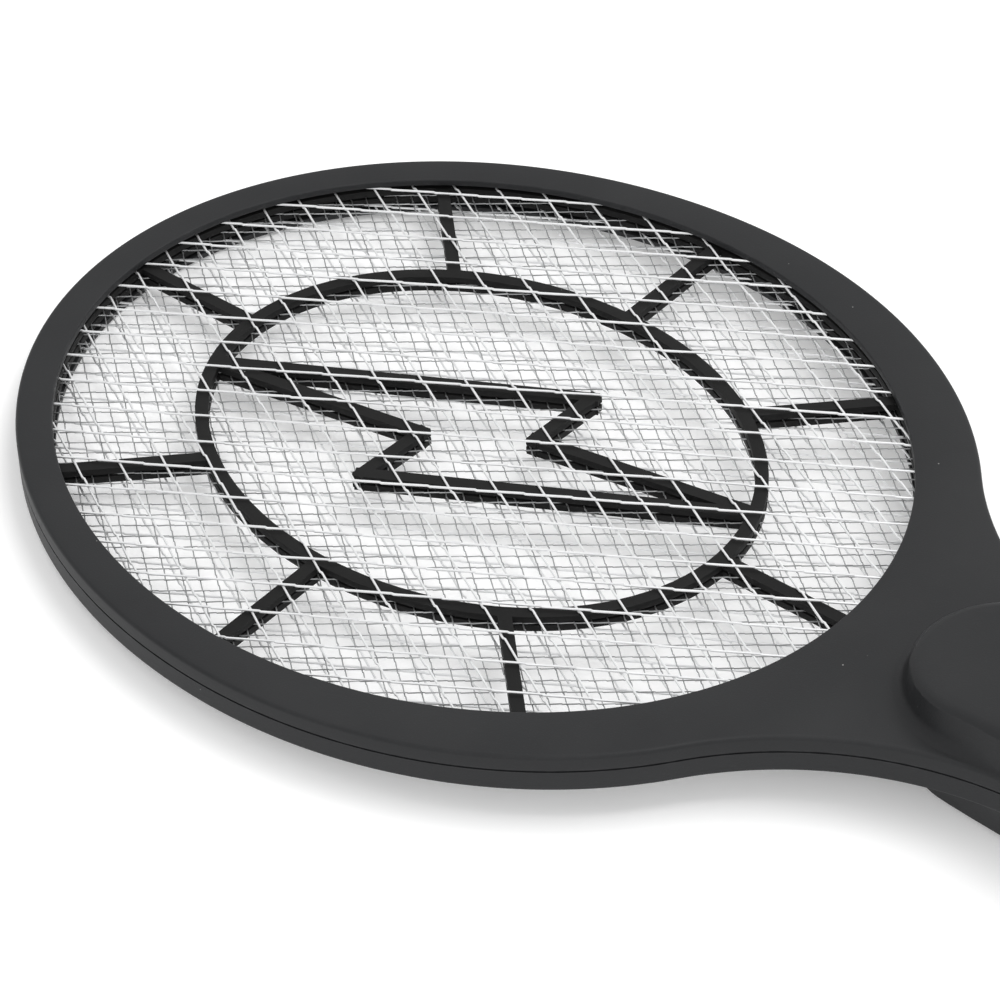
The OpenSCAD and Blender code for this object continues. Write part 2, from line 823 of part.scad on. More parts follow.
// Conical contact spring along the cell, from a wide foot to a narrow tip
module contact_spring(x, y, direction) {
    turns = 4;
    steps = 16;
    lift = spring_wire / 2 + touch_gap;
    climb = spring_length - 2 * lift;
    path = [for (i = [0:turns * steps])
        let(share = i / (turns * steps),
            t = 360 * i / steps,
            r = spring_foot + (spring_tip - spring_foot) * share)
        [direction * (lift + climb * share), r * cos(t), r * sin(t)]];
    color([0.8, 0.8, 0.78]) translate([head_x + x, y, cell_z]) tube(path, spring_wire / 2, 6);
}

module battery_springs() {
    contact_spring(bay_start + contact_thickness, cell_y, 1);
    contact_spring(bay_end - contact_thickness, -cell_y, -1);
}

// AA cell lying along the handle, with its button at the end that the direction points to
module cell(x, y, direction) {
    body = cell_length - cell_button[1] - 2 * touch_gap;
    translate([head_x + x, y, cell_z]) rotate([0, 90 * direction, 0]) {
        color([0.2, 0.22, 0.26]) translate([0, 0, touch_gap])
            cylinder(d = cell_diameter, h = body);
        color([0.8, 0.8, 0.8]) translate([0, 0, body])
            cylinder(r = cell_button[0], h = cell_button[1] + touch_gap);
    }
}

module battery_cell_front() {
    cell(bay_end - contact_thickness - cell_length, cell_y, 1);
}

module battery_cell_rear() {
    cell(bay_start + contact_thickness + cell_length, -cell_y, -1);
}

// Insulated lead from a contact plate, out through the tray's end, onto the circuit board
module battery_lead(side) {
    start = bay_start - touch_gap;
    rest = board_top + lead_diameter / 2 + touch_gap;
    path = [[start, side * cell_y, lead_z],
        [start - 4, side * cell_y, lead_z],
        [start - 8, side * (cell_y + 1), (lead_z + rest) / 2],
        [board_end + 2, side * cell_y, rest],
        [board_end - 4, side * (cell_y - 1), rest]];
    translate([head_x, 0, 0]) tube(path, lead_diameter / 2);
}

module positive_lead() {
    color([0.7, 0.1, 0.08]) battery_lead(-1);
}

module negative_lead() {
    color([0.08, 0.08, 0.09]) battery_lead(1);
}

// Door plate with a round hinge edge and three tabs at one end, and a latch at the other
module battery_door() {
    start = window_start + fit_gap;
    end = window_end - fit_gap;
    half = window_half_width - fit_gap;
    tab_start = window_start - tab_reach;
    tab_low = wall + fit_gap;
    color([0.21, 0.21, 0.22]) translate([head_x, 0, 0]) {
        difference() {
            translate([door_hinge_x, -half, 0]) cube([end - door_hinge_x, 2 * half, wall]);
            for (step = [0:3])
                translate([end - 8 - grip_pitch * step, -grip_groove.y / 2, -cut])
                    cube([grip_groove.x, grip_groove.y, cut + grip_groove.z]);
        }
        translate([door_hinge_x, half, wall / 2]) rotate([90, 0, 0])
            cylinder(d = wall, h = 2 * half);
        for (y = [-half + tab_width / 2, 0, half - tab_width / 2]) {
            translate([door_hinge_x, y - tab_width / 2, wall - cut / 2])
                cube([tab_width, tab_width, cut / 2 + fit_gap + tab_thickness]);
            translate([tab_start, y - tab_width / 2, tab_low])
                cube([door_hinge_x + tab_width - tab_start, tab_width, tab_thickness]);
        }
        translate([end - tray_wall, -latch_width / 2, wall - cut / 2])
            cube([tray_wall, latch_width, cut / 2 + latch_height]);
    }
}

// Pan-head screws from the back, two short ones in the throat and two long ones in the handle
module case_screw(length) {
    translate([0, 0, screw_recess - screw_head_height - touch_gap])
        cylinder(r = screw_head_radius, h = screw_head_height);
    shank_start = screw_recess - touch_gap - cut / 2;
    translate([0, 0, shank_start]) cylinder(r = screw_radius, h = length - shank_start);
}

module case_screws() {
    color([0.72, 0.72, 0.74]) translate([head_x, 0, 0]) {
        for (side = [-1, 1])
            translate([throat_screw.x, side * throat_screw.y, head_bottom])
                case_screw(head_thickness - lip - fit_gap);
        for (x = [mid_screw_x, end_screw_x])
            translate([x, 0, 0]) case_screw(seam_z + 8);
    }
}

front_shell();
rear_shell();
front_mesh();
centre_mesh();
rear_mesh();
front_ribs();
rear_ribs();
front_terminal();
centre_terminal();
rear_terminal();
front_lead();
centre_lead();
rear_lead();
circuit_board();
board_screws();
transformer_core();
transformer_coil();
storage_capacitor();
transistor();
diodes();
resistors();
indicator_led();
push_button();
switch_body();
switch_plunger();
power_slider();
slide_switch_body();
battery_positive();
battery_negative();
battery_link();
battery_springs();
battery_cell_front();
battery_cell_rear();
positive_lead();
negative_lead();
battery_door();
case_screws();
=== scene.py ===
"""Electric fly swatter: a charcoal casing, black ribs and three layers of wire mesh.

Values for shapes are in millimetres, measured along the handle from the widest line of the
head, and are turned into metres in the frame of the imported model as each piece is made.
"""

import math

import bmesh
import bpy
import numpy as np
from mathutils import Matrix, Vector
from mathutils.geometry import delaunay_2d_cdt


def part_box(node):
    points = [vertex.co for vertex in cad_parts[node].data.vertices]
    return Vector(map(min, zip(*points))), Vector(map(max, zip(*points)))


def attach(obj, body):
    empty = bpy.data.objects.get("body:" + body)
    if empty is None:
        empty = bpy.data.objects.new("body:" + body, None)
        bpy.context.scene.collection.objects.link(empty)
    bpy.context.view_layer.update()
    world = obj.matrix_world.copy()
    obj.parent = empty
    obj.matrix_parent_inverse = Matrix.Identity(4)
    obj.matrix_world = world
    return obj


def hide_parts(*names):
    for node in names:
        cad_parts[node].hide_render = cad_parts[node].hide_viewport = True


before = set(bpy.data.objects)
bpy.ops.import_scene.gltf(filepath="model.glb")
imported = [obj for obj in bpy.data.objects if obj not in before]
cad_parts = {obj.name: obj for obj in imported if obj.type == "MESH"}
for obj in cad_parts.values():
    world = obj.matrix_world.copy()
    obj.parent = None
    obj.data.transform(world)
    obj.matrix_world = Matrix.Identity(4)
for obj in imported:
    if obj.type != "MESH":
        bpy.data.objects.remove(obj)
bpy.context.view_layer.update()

MM = 0.001


def box_mm(node):
    """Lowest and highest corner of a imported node, in millimetres."""
    low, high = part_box(node)
    return np.array(low) / MM, np.array(high) / MM


# Plan of the casing
TIP_REACH = 116
THROAT_REACH = 111
THROAT_ANGLE = math.radians(34)
HEAD_HALF = 97.5
HANDLE_HALF = 21.5
BUTT_RADIUS = 16
OPENING = (101.5, 87.2)
OPENING_X = -6
NOSE_START = 114
NOSE_RADIUS = 20.5
NOSE_RISE = 44
HANDLE_END = 329
HEAD_X = box_mm("front_shell")[0][0] + TIP_REACH

# Levels
MID_Z = 15.5
HEAD_TOP = 20.3
HANDLE_TOP = 31.0
NOSE_HEIGHT = 6.8
SEAM_Z = 16.3
SEAM_HALF = 0.25
SEAM_DEPTH = 0.4
WALL = 1.8
LIP_TOP = 18.7
OUTER_MESH = 2.61

# Softened edges of the casing
RIM_EDGE = 0.9
OPENING_EDGE = 0.45
HOLE_EDGE = 0.35
NOSE_EDGE = 3.2
HANDLE_EDGE = 6.0
EDGE_GROWS = 128
EDGE_FULL = 176
FOOT = 2.6
DRAFT = 0.9
STEP = 0.06

# Controls, holes and screws
LED_X = 156
BUTTON_X = 176
SLIDER_X = 200
HANG_X = 316
HANG_RADIUS = 3
BUTTON_HOLE = 6.7
LED_HOLE = 1.6
SCREW_HOLE = 3.1
THROAT_SCREWS = [(118, 24.0), (118, -24.0)]
HANDLE_SCREWS = [(224.2, 0.0), (297.5, 0.0)]
WINDOW = (235.0, 288.5, 15.1)
SLOT_BEFORE = 4.8
SLOT_AFTER = 8.8
SLOT_HALF = 2.8
SLOT_CORNER = 0.6
WINDOW_CORNER = 0.5


# ---- outlines

def arc(cx, cy, radius, start, end, count):
    angles = np.radians(np.linspace(start, end, count))
    return np.stack([cx + radius * np.cos(angles), cy + radius * np.sin(angles)], axis=1)


def even_steps(points, step, closed=True):
    """The same line with points an even step apart."""
    points = np.asarray(points, float)
    if closed:
        points = np.vstack([points, points[:1]])
    lengths = np.r_[0, np.cumsum(np.hypot(*np.diff(points, axis=0).T))]
    count = max(int(round(lengths[-1] / step)), 8)
    spots = np.linspace(0, lengths[-1], count + 1)
    if closed:
        spots = spots[:-1]
    return np.stack([np.interp(spots, lengths, points[:, k]) for k in (0, 1)], axis=1)


def casing_outline():
    """Head, throat and handle in plan, counter-clockwise."""
    leave = np.array([THROAT_REACH * math.cos(THROAT_ANGLE), HEAD_HALF * math.sin(THROAT_ANGLE)])
    slope = np.array([HEAD_HALF * math.cos(THROAT_ANGLE), THROAT_REACH * math.sin(THROAT_ANGLE)])
    normal = slope / np.hypot(*slope)
    radius = (leave[1] - HANDLE_HALF) / (1 - normal[1])
    centre = leave + radius * normal
    start = 180 + math.degrees(math.atan2(normal[1], normal[0]))
    tip = np.radians(np.linspace(180, 90, 80))[1:-1]
    side = np.linspace(math.pi / 2, THROAT_ANGLE, 60)
    corner_x = HANDLE_END - BUTT_RADIUS
    upper = np.vstack([
        np.stack([TIP_REACH * np.cos(tip), HEAD_HALF * np.sin(tip)], axis=1),
        np.stack([THROAT_REACH * np.cos(side), HEAD_HALF * np.sin(side)], axis=1),
        arc(centre[0], centre[1], radius, start, 270, 40)[1:],
        arc(corner_x, HANDLE_HALF - BUTT_RADIUS, BUTT_RADIUS, 90, 0, 20)])
    lower = upper[::-1] * [1, -1]
    return even_steps(np.vstack([[[-TIP_REACH, 0]], upper, lower])[::-1], 2.0)


def block_outline():
    """The raised handle in plan, from its nose to its end."""
    nose_x = NOSE_START + NOSE_RADIUS
    corner_x = HANDLE_END - BUTT_RADIUS
    upper = np.vstack([
        arc(nose_x, 0, NOSE_RADIUS, 180, 90, 40)[1:],
        [[NOSE_START + NOSE_RISE, HANDLE_HALF]],
        arc(corner_x, HANDLE_HALF - BUTT_RADIUS, BUTT_RADIUS, 90, 0, 20)])
    return np.vstack([[[NOSE_START, 0]], upper, upper[::-1] * [1, -1]])[::-1]


def nose_line():
    """The part of the raised handle's outline that stands on the head."""
    nose_x = NOSE_START + NOSE_RADIUS
    end = [NOSE_START + NOSE_RISE, HANDLE_HALF]
    half = np.vstack([arc(nose_x, 0, NOSE_RADIUS, 180, 90, 60), [end]])
    return even_steps(np.vstack([(half * [1, -1])[::-1], half[1:]]), 1.2, closed=False)


def oval_loop(a, b, x, step=1.5):
    return even_steps(arc(0, 0, 1, 0, 360, 361)[:-1] * [a, b] + [x, 0], step)


def circle_loop(x, y, radius):
    return arc(x, y, radius, 0, 360, 73)[:-1]


def slot_loop(x0, x1, y0, y1, corner):
    """Rectangle with round corners, counter-clockwise."""
    parts = [arc(x, y, corner, start, start + 90, 7) for x, y, start in (
        (x1 - corner, y1 - corner, 0), (x0 + corner, y1 - corner, 90),
        (x0 + corner, y0 + corner, 180), (x1 - corner, y0 + corner, 270))]
    return np.vstack(parts)


def moved_in(points, depth, closed=True):
    """A line moved to its left by a depth: inward on a counter-clockwise loop."""
    if closed:
        along = np.roll(points, -1, axis=0) - np.roll(points, 1, axis=0)
    else:
        along = np.gradient(points, axis=0)
    along /= np.hypot(*along.T)[:, None]
    return points + depth * np.stack([-along[:, 1], along[:, 0]], axis=1)


def depth_inside(points, loop):
    """Distance of each point from a closed loop, above zero inside it."""
    start, end = loop, np.roll(loop, -1, axis=0)
    run = end - start
    size = (run ** 2).sum(axis=1) + 1e-12
    depths = []
    for part in np.array_split(points, max(1, len(points) * len(loop) // 2_000_000)):
        off = part[:, None] - start[None]
        share = np.clip((off * run).sum(axis=2) / size, 0, 1)
        near = np.sqrt(((off - share[..., None] * run) ** 2).sum(axis=2).min(axis=1))
        above = (start[:, 1] > part[:, 1:2]) != (end[:, 1] > part[:, 1:2])
        rise = np.where(run[:, 1] == 0, 1e-12, run[:, 1])
        cross = start[:, 0] + (part[:, 1:2] - start[:, 1]) / rise * run[:, 0]
        inside = (above & (part[:, 0:1] < cross)).sum(axis=1) % 2 == 1
        depths.append(np.where(inside, near, -near))
    return np.concatenate(depths)


CASING = casing_outline()
BLOCK = even_steps(block_outline(), 1.5)


# ---- making pieces

def add_object(name, data):
    """An object placed in the scene."""
    thing = bpy.data.objects.new(name, data)
    bpy.context.scene.collection.objects.link(thing)
    return thing


def new_piece(name, mesh, body, material, replaces=(), sharp=35.0):
    """A named piece with its finish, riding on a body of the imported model."""
    mesh.materials.append(material)
    mesh.validate()
    mesh.shade_smooth()
    mesh.set_sharp_from_angle(angle=math.radians(sharp))
    piece = add_object(name, mesh)
    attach(piece, body)
    if replaces:
        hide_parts(*replaces)
    return piece


def mesh_from(name, points, faces):
    """Mesh from points in millimetres along the handle."""
    mesh = bpy.data.meshes.new(name)
    places = (np.asarray(points, float) + [HEAD_X, 0, 0]) * MM
    mesh.from_pydata(places.tolist(), [], [list(map(int, face)) for face in faces])
    mesh.update()
    return mesh


def lathe_parts(profile, x, y, steps=64):
    """Points and faces of a closed profile of (radius, height) turned about an upright line."""
    points = []
    faces = []
    for k in range(steps):
        turn = 2 * math.pi * k / steps
        points += [(x + r * math.cos(turn), y + r * math.sin(turn), z) for r, z in profile]
    count = len(profile)
    for k in range(steps):
        a, b = k * count, (k + 1) % steps * count
        for i in range(count):
            j = (i + 1) % count
            faces.append((a + i, b + i, b + j, a + j))
    return points, faces


def gathered(parts):
    """Several lists of points and faces as one."""
    points, faces = [], []
    for some_points, some_faces in parts:
        faces += [[len(points) + i for i in face] for face in some_faces]
        points += [tuple(p) for p in some_points]
    return points, faces


def joined_mesh(name, parts):
    """Mesh of several parts, with points that meet joined and faces turned outward."""
    mesh = mesh_from(name, *gathered(parts))
    work = bmesh.new()
    work.from_mesh(mesh)
    bmesh.ops.remove_doubles(work, verts=work.verts, dist=1e-6)
    bmesh.ops.recalc_face_normals(work, faces=work.faces)
    work.to_mesh(mesh)
    work.free()
    return mesh


def box_parts(low, high):
    """Points and faces of an upright box."""
    (x0, y0, z0), (x1, y1, z1) = low, high
    points = [(x, y, z) for x in (x0, x1) for y in (y0, y1) for z in (z0, z1)]
    faces = [(0, 1, 3, 2), (4, 6, 7, 5), (0, 4, 5, 1), (2, 3, 7, 6), (0, 2, 6, 4), (1, 5, 7, 3)]
    return points, faces


def softened_mesh(mesh, width, segments=2, angle=40.0):
    """The mesh with flat faces joined up and its sharp edges rounded over."""
    work = bmesh.new()
    work.from_mesh(mesh)
    bmesh.ops.remove_doubles(work, verts=work.verts, dist=2e-6)
    bmesh.ops.dissolve_limit(
        work, angle_limit=math.radians(1.0), verts=work.verts, edges=work.edges)
    sharp = [edge for edge in work.edges
             if edge.is_manifold and edge.calc_face_angle(0) > math.radians(angle)]
    bmesh.ops.bevel(work, geom=sharp, offset=width * MM, segments=segments, profile=0.6,
                    affect="EDGES", clamp_overlap=True)
    bmesh.ops.triangulate(
        work, faces=[face for face in work.faces if len(face.verts) > 4])
    work.to_mesh(mesh)
    work.free()
    return mesh


def softened_node(node, body, material, width, segments=2):
    """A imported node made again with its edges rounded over."""
    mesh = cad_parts[node].data.copy()
    mesh.materials.clear()
    mesh.transform(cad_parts[node].matrix_world)
    softened_mesh(mesh, width, segments)
    return new_piece(node + "_soft", mesh, body, material, replaces=[node])


# ---- the two casing halves

def edge_drop(depth, radius):
    """How far a rounded edge lies below its face, at a depth in from the edge."""
    left = np.clip(radius - depth, 0, radius)
    return radius - np.sqrt(np.maximum(radius ** 2 - left ** 2, 0))


def between(value, start, end):
    """0 before start, 1 after end, and even in between."""
    return np.clip((value - start) / (end - start), 0, 1)


def eased(share):
    """The share with a soft start and end."""
    return share * share * (3 - 2 * share)


def handle_level(x):
    """Height of the handle's flat top along the handle, easing into its full height."""
    run_out = 8
    ease = 0.18
    share = between(x, NOSE_START, NOSE_START + NOSE_RISE + run_out)
    nose_top = HEAD_TOP + NOSE_HEIGHT
    return nose_top + (HANDLE_TOP - nose_top) * ((1 + ease) * share - ease * share ** 3)


def face_level(x, rim_depth, block_depth):
    """Height of the casing's outer face."""
    head = HEAD_TOP - edge_drop(rim_depth, RIM_EDGE)
    radius = NOSE_EDGE + (HANDLE_EDGE - NOSE_EDGE) * eased(between(x, EDGE_GROWS, EDGE_FULL))
    block = handle_level(x) - edge_drop(block_depth, radius)
    lift = FOOT - np.sqrt(np.maximum(FOOT ** 2 - np.clip(block_depth + FOOT, 0, FOOT) ** 2, 0))
    foot = head + lift * between(rim_depth, 0, 3)
    wall = between(block_depth, 0, DRAFT)
    joined = np.where(block_depth <= 0, foot, foot + (np.maximum(block, foot) - foot) * wall)
    return np.where(x > NOSE_START + NOSE_RISE + 1, block, joined)


def hollow_level(x, rim_depth, block_depth):
    """Height of the casing's inner face, from the parting line to the roof."""
    seam = SEAM_Z + SEAM_HALF * (1 - between(rim_depth, SEAM_DEPTH - STEP, SEAM_DEPTH))
    inside = between(block_depth, WALL, WALL + STEP)
    roof = LIP_TOP + (handle_level(x) - WALL - LIP_TOP) * inside
    return seam + (roof - seam) * between(rim_depth, WALL, WALL + STEP)


def ring_points():
    """Lines that the casing's triangles follow: round its rim and round the handle's nose."""
    lines = []
    for depth in (0, 0.07, 0.18, SEAM_DEPTH - STEP, SEAM_DEPTH, 0.65, RIM_EDGE, WALL, WALL + STEP):
        lines.append((moved_in(CASING, depth), True))
    handle_from, handle_middle = 160, 250
    along = CASING[CASING[:, 0] > handle_from]
    order = np.argsort(np.arctan2(along[:, 1], along[:, 0] - handle_middle))
    for depth in (2.8, 4.2, 6.0):
        lines.append((moved_in(along[order], depth, closed=False), False))
    nose = nose_line()
    foot_lines = [-FOOT * share for share in (1, 0.85, 0.62, 0.38, 0.16, 0.03)]
    edge_lines = [NOSE_EDGE * share for share in (0.12, 0.4, 0.75, 1)]
    for depth in foot_lines + [0, DRAFT, WALL, WALL + STEP] + edge_lines:
        lines.append((moved_in(nose, -depth, closed=False), False))
    nose_rows = np.arange(122, 166, 4.0)
    nose_columns = np.arange(-15, 15.1, 3)
    for x in nose_rows:
        for y in nose_columns:
            lines.append((np.array([[x, y]]), False))
    return lines


def casing_half(name, front, holes, material, node):
    """One half of the casing as a closed solid between its outer and inner faces.

    Points of a line that lie further apart than the longest link are left for the triangles
    to join as they like.
    """
    longest_link = 5
    least_depth = 0.02
    lines = ring_points()
    oval = oval_loop(*OPENING, OPENING_X)
    loops = [(oval, OPENING_EDGE)] + [(hole, HOLE_EDGE) for hole in holes]
    for loop, edge in loops:
        for share in (0, 0.12, 0.4, 1.0):
            lines.append((moved_in(loop, -edge * share), True))
    spots, links = [], []
    for line, closed in lines:
        if not closed:
            depth = depth_inside(line, CASING)
            line = line[depth > least_depth]
        first = len(spots)
        spots += [Vector(p) for p in line.tolist()]
        count = len(line)
        links += [(first + i, first + i + 1) for i in range(count - 1)
                  if (spots[first + i] - spots[first + i + 1]).length < longest_link]
        if closed:
            links.append((first + count - 1, first))
    verts, _, triangles, _, _, _ = delaunay_2d_cdt(spots, links, [], 0, 1e-5)
    plan = np.array([tuple(v) for v in verts])
    triangles = np.array(triangles)
    middle = plan[triangles].mean(axis=1)
    kept = depth_inside(middle, CASING) > 0
    for loop, _ in loops:
        kept &= depth_inside(middle, loop) < 0
    triangles = triangles[kept]
    a, b, c = (plan[triangles[:, k]] for k in range(3))
    area = (b[:, 0] - a[:, 0]) * (c[:, 1] - a[:, 1]) - (c[:, 0] - a[:, 0]) * (b[:, 1] - a[:, 1])
    triangles[area < 0] = triangles[area < 0][:, ::-1]
    used, triangles = np.unique(triangles, return_inverse=True)
    plan, triangles = plan[used], triangles.reshape(-1, 3)

    rim_depth = np.maximum(depth_inside(plan, CASING), 0)
    block_depth = depth_inside(plan, BLOCK)
    outer = face_level(plan[:, 0], rim_depth, block_depth)
    for loop, edge in loops:
        outer = outer - edge_drop(-depth_inside(plan, loop), edge)
    inner = hollow_level(plan[:, 0], rim_depth, block_depth)
    if not front:
        outer = 2 * MID_Z - outer
        seam_drop = 2 * (SEAM_Z - MID_Z) * (1 - between(rim_depth, WALL, WALL + STEP))
        inner = 2 * MID_Z - inner + seam_drop
    count = len(plan)
    points = np.vstack([np.c_[plan, outer], np.c_[plan, inner]])
    edges = {}
    for triangle in triangles.tolist():
        for i in range(3):
            pair = (triangle[i], triangle[(i + 1) % 3])
            edges[pair] = edges.get(pair, 0) + 1
    border = [pair for pair in edges if (pair[1], pair[0]) not in edges]
    faces = triangles.tolist() + (triangles[:, ::-1] + count).tolist()
    faces += [(b, a, a + count, b + count) for a, b in border]
    if not front:
        faces = [face[::-1] for face in faces]
    mesh = mesh_from(name, points, faces)
    return new_piece(name, mesh, "casing", material, replaces=[node], sharp=30)


# ---- wire meshes

def line_cut(a, b, angle, offset):
    """First and last distance along a line at which it crosses an oval about the middle."""
    ux, uy = math.cos(angle), math.sin(angle)
    px, py = -uy * offset, ux * offset
    qa = (ux / a) ** 2 + (uy / b) ** 2
    qb = 2 * (px * ux / a ** 2 + py * uy / b ** 2)
    qc = (px / a) ** 2 + (py / b) ** 2 - 1
    root = qb * qb - 4 * qa * qc
    if root <= 0:
        return None
    return (-qb - math.sqrt(root)) / (2 * qa), (-qb + math.sqrt(root)) / (2 * qa)


def wander(i, j, seed):
    """A small number from -1 to 1 that is always the same for the same place."""
    return 2 * (math.sin(i * 12.9898 + j * 78.233 + seed * 37.719) * 43758.5453 % 1) - 1


def wire_paths(level, wire, cell, half_angle, turn, shifts, bond, stray):
    """Paths of two crossed families of wires that run side by side for a bond at each crossing."""
    grip = 3
    gap = 0.02
    a, b = OPENING[0] + grip, OPENING[1] + grip
    spread = math.sin(2 * half_angle)
    pitch = cell * spread
    count = math.ceil(a / pitch)
    angles = [turn - half_angle, turn + half_angle]
    rows = [[(k + shifts[i]) * pitch for k in range(-count, count + 1)] for i in (0, 1)]
    along = np.array([math.cos(turn), math.sin(turn)])
    paths = []
    for i in (0, 1):
        angle = angles[i]
        way = np.array([math.cos(angle), math.sin(angle)])
        side = np.array([-way[1], way[0]])
        height = (2 * i - 1) * (wire + gap) / 2
        for k, offset in enumerate(rows[i]):
            reach = line_cut(a, b, angle, offset)
            if reach is None or reach[1] - reach[0] < 2 * cell:
                continue
            start, end = (side * offset + way * r for r in reach)
            path = [np.r_[start, height]]
            crossings = []
            for m, other in enumerate(rows[1 - i]):
                sign = 1 if i == 0 else -1
                spot = (offset * math.cos(2 * half_angle) - other) / (spread * -sign)
                if reach[0] + bond < spot < reach[1] - bond:
                    crossings.append((spot, (k, m) if i == 0 else (m, k)))
            for spot, (row, column) in sorted(crossings):
                nudge = np.array([wander(row, column, 1), wander(row, column, 2)]) * stray
                centre = side * offset + way * spot + nudge
                for share in (-0.5, -0.38, 0.38, 0.5):
                    path.append(np.r_[centre + along * bond * share, height])
            path.append(np.r_[end, height])
            paths.append(np.array(path) + [OPENING_X, 0, level])
    return paths


def wire_piece(name, paths, wire, sides, material, node):
    """All the wires of one mesh as tubes swept along their paths."""
    points, faces = [], []
    turns = np.linspace(0, 2 * math.pi, sides, endpoint=False)
    for path in paths:
        along = np.gradient(path, axis=0)
        along /= np.linalg.norm(along, axis=1)[:, None]
        across = np.stack([-along[:, 1], along[:, 0], 0 * along[:, 0]], axis=1)
        across /= np.linalg.norm(across, axis=1)[:, None]
        rings = [path + wire / 2 * (across * math.cos(t) + [0, 0, math.sin(t)]) for t in turns]
        rings = np.stack(rings, axis=1)
        first, count = len(points), len(path)
        points += rings.reshape(-1, 3).tolist()
        for i in range(count - 1):
            for s in range(sides):
                n = (s + 1) % sides
                low, high = first + i * sides, first + (i + 1) * sides
                faces.append((low + s, high + s, high + n, low + n))
        faces.append([first + s for s in range(sides)])
        faces.append([first + (count - 1) * sides + s for s in range(sides)][::-1])
    mesh = mesh_from(name, points, faces)
    return new_piece(name, mesh, "casing", material, replaces=[node], sharp=60)


# ---- shared shader groups

def grey(level):
    return level, level, level, 1


def new_group(name, inputs, outputs):
    """Empty shader group with named sockets: (name, kind, default) for each input."""
    group = bpy.data.node_groups.new(name, "ShaderNodeTree")
    for label, kind, value in inputs:
        socket = group.interface.new_socket(label, in_out="INPUT", socket_type="NodeSocket" + kind)
        if value is not None:
            socket.default_value = value
    for label, kind in outputs:
        group.interface.new_socket(label, in_out="OUTPUT", socket_type="NodeSocket" + kind)
    return group, group.nodes.new("NodeGroupInput"), group.nodes.new("NodeGroupOutput")


def add_node(tree, kind, **settings):
    node = tree.nodes.new(kind)
    for key, value in settings.items():
        setattr(node, key, value)
    return node


def join(tree, output, target):
    tree.links.new(output, target)


def ramp_node(tree, source, low, high, low_value=0.0, high_value=1.0):
    """Maps a value from one range to another, held at the ends."""
    node = add_node(tree, "ShaderNodeMapRange", clamp=True)
    join(tree, source, node.inputs["Value"])
    for label, value in (("From Min", low), ("From Max", high),
                         ("To Min", low_value), ("To Max", high_value)):
        node.inputs[label].default_value = value
    return node.outputs["Result"]


def noise_node(tree, place, scale_socket, detail, scale=1.0, distortion=0.0):
    node = add_node(tree, "ShaderNodeTexNoise")
    join(tree, place, node.inputs["Vector"])
    if scale_socket is None:
        node.inputs["Scale"].default_value = scale
    else:
        join(tree, scale_socket, node.inputs["Scale"])
    node.inputs["Detail"].default_value = detail
    node.inputs["Distortion"].default_value = distortion
    return node


def object_place(tree):
    return tree.nodes.new("ShaderNodeTexCoord").outputs["Object"]


def maths(tree, operation, first, second):
    """One sum on two sockets or numbers."""
    node = add_node(tree, "ShaderNodeMath", operation=operation)
    for socket, value in zip(node.inputs, (first, second)):
        if hasattr(value, "links"):
            join(tree, value, socket)
        else:
            socket.default_value = value
    return node.outputs[0]


def make_spark_grain():
    """Fine spark-eroded mould texture: a height and a speckle mask."""
    group, source, result = new_group(
        "spark grain", [("Scale", "Float", 2600.0), ("Coarse Scale", "Float", 500.0)],
        [("Height", "Float"), ("Speckle", "Float")])
    place = object_place(group)
    fine = noise_node(group, place, source.outputs["Scale"], 3.0)
    coarse = noise_node(group, place, source.outputs["Coarse Scale"], 2.0)
    mixed = maths(group, "MULTIPLY_ADD", fine.outputs["Fac"], 0.7)
    join(group, maths(group, "MULTIPLY", coarse.outputs["Fac"], 0.3), mixed.node.inputs[2])
    join(group, mixed, result.inputs["Height"])
    join(group, ramp_node(group, fine.outputs["Fac"], 0.58, 0.74), result.inputs["Speckle"])
    return group


def make_edge_wear():
    """Mask along outer edges, broken up by noise."""
    group, source, result = new_group(
        "edge wear", [("Radius", "Float", 0.0006), ("Breakup Scale", "Float", 220.0)],
        [("Mask", "Float")])
    bevel = add_node(group, "ShaderNodeBevel", samples=3)
    join(group, source.outputs["Radius"], bevel.inputs["Radius"])
    facing = group.nodes.new("ShaderNodeNewGeometry")
    alike = add_node(group, "ShaderNodeVectorMath", operation="DOT_PRODUCT")
    join(group, bevel.outputs["Normal"], alike.inputs[0])
    join(group, facing.outputs["Normal"], alike.inputs[1])
    edge = ramp_node(group, alike.outputs["Value"], 0.998, 0.93)
    broken = noise_node(group, object_place(group), source.outputs["Breakup Scale"], 4.0)
    patches = ramp_node(group, broken.outputs["Fac"], 0.42, 0.68)
    join(group, maths(group, "MULTIPLY", edge, patches), result.inputs["Mask"])
    return group


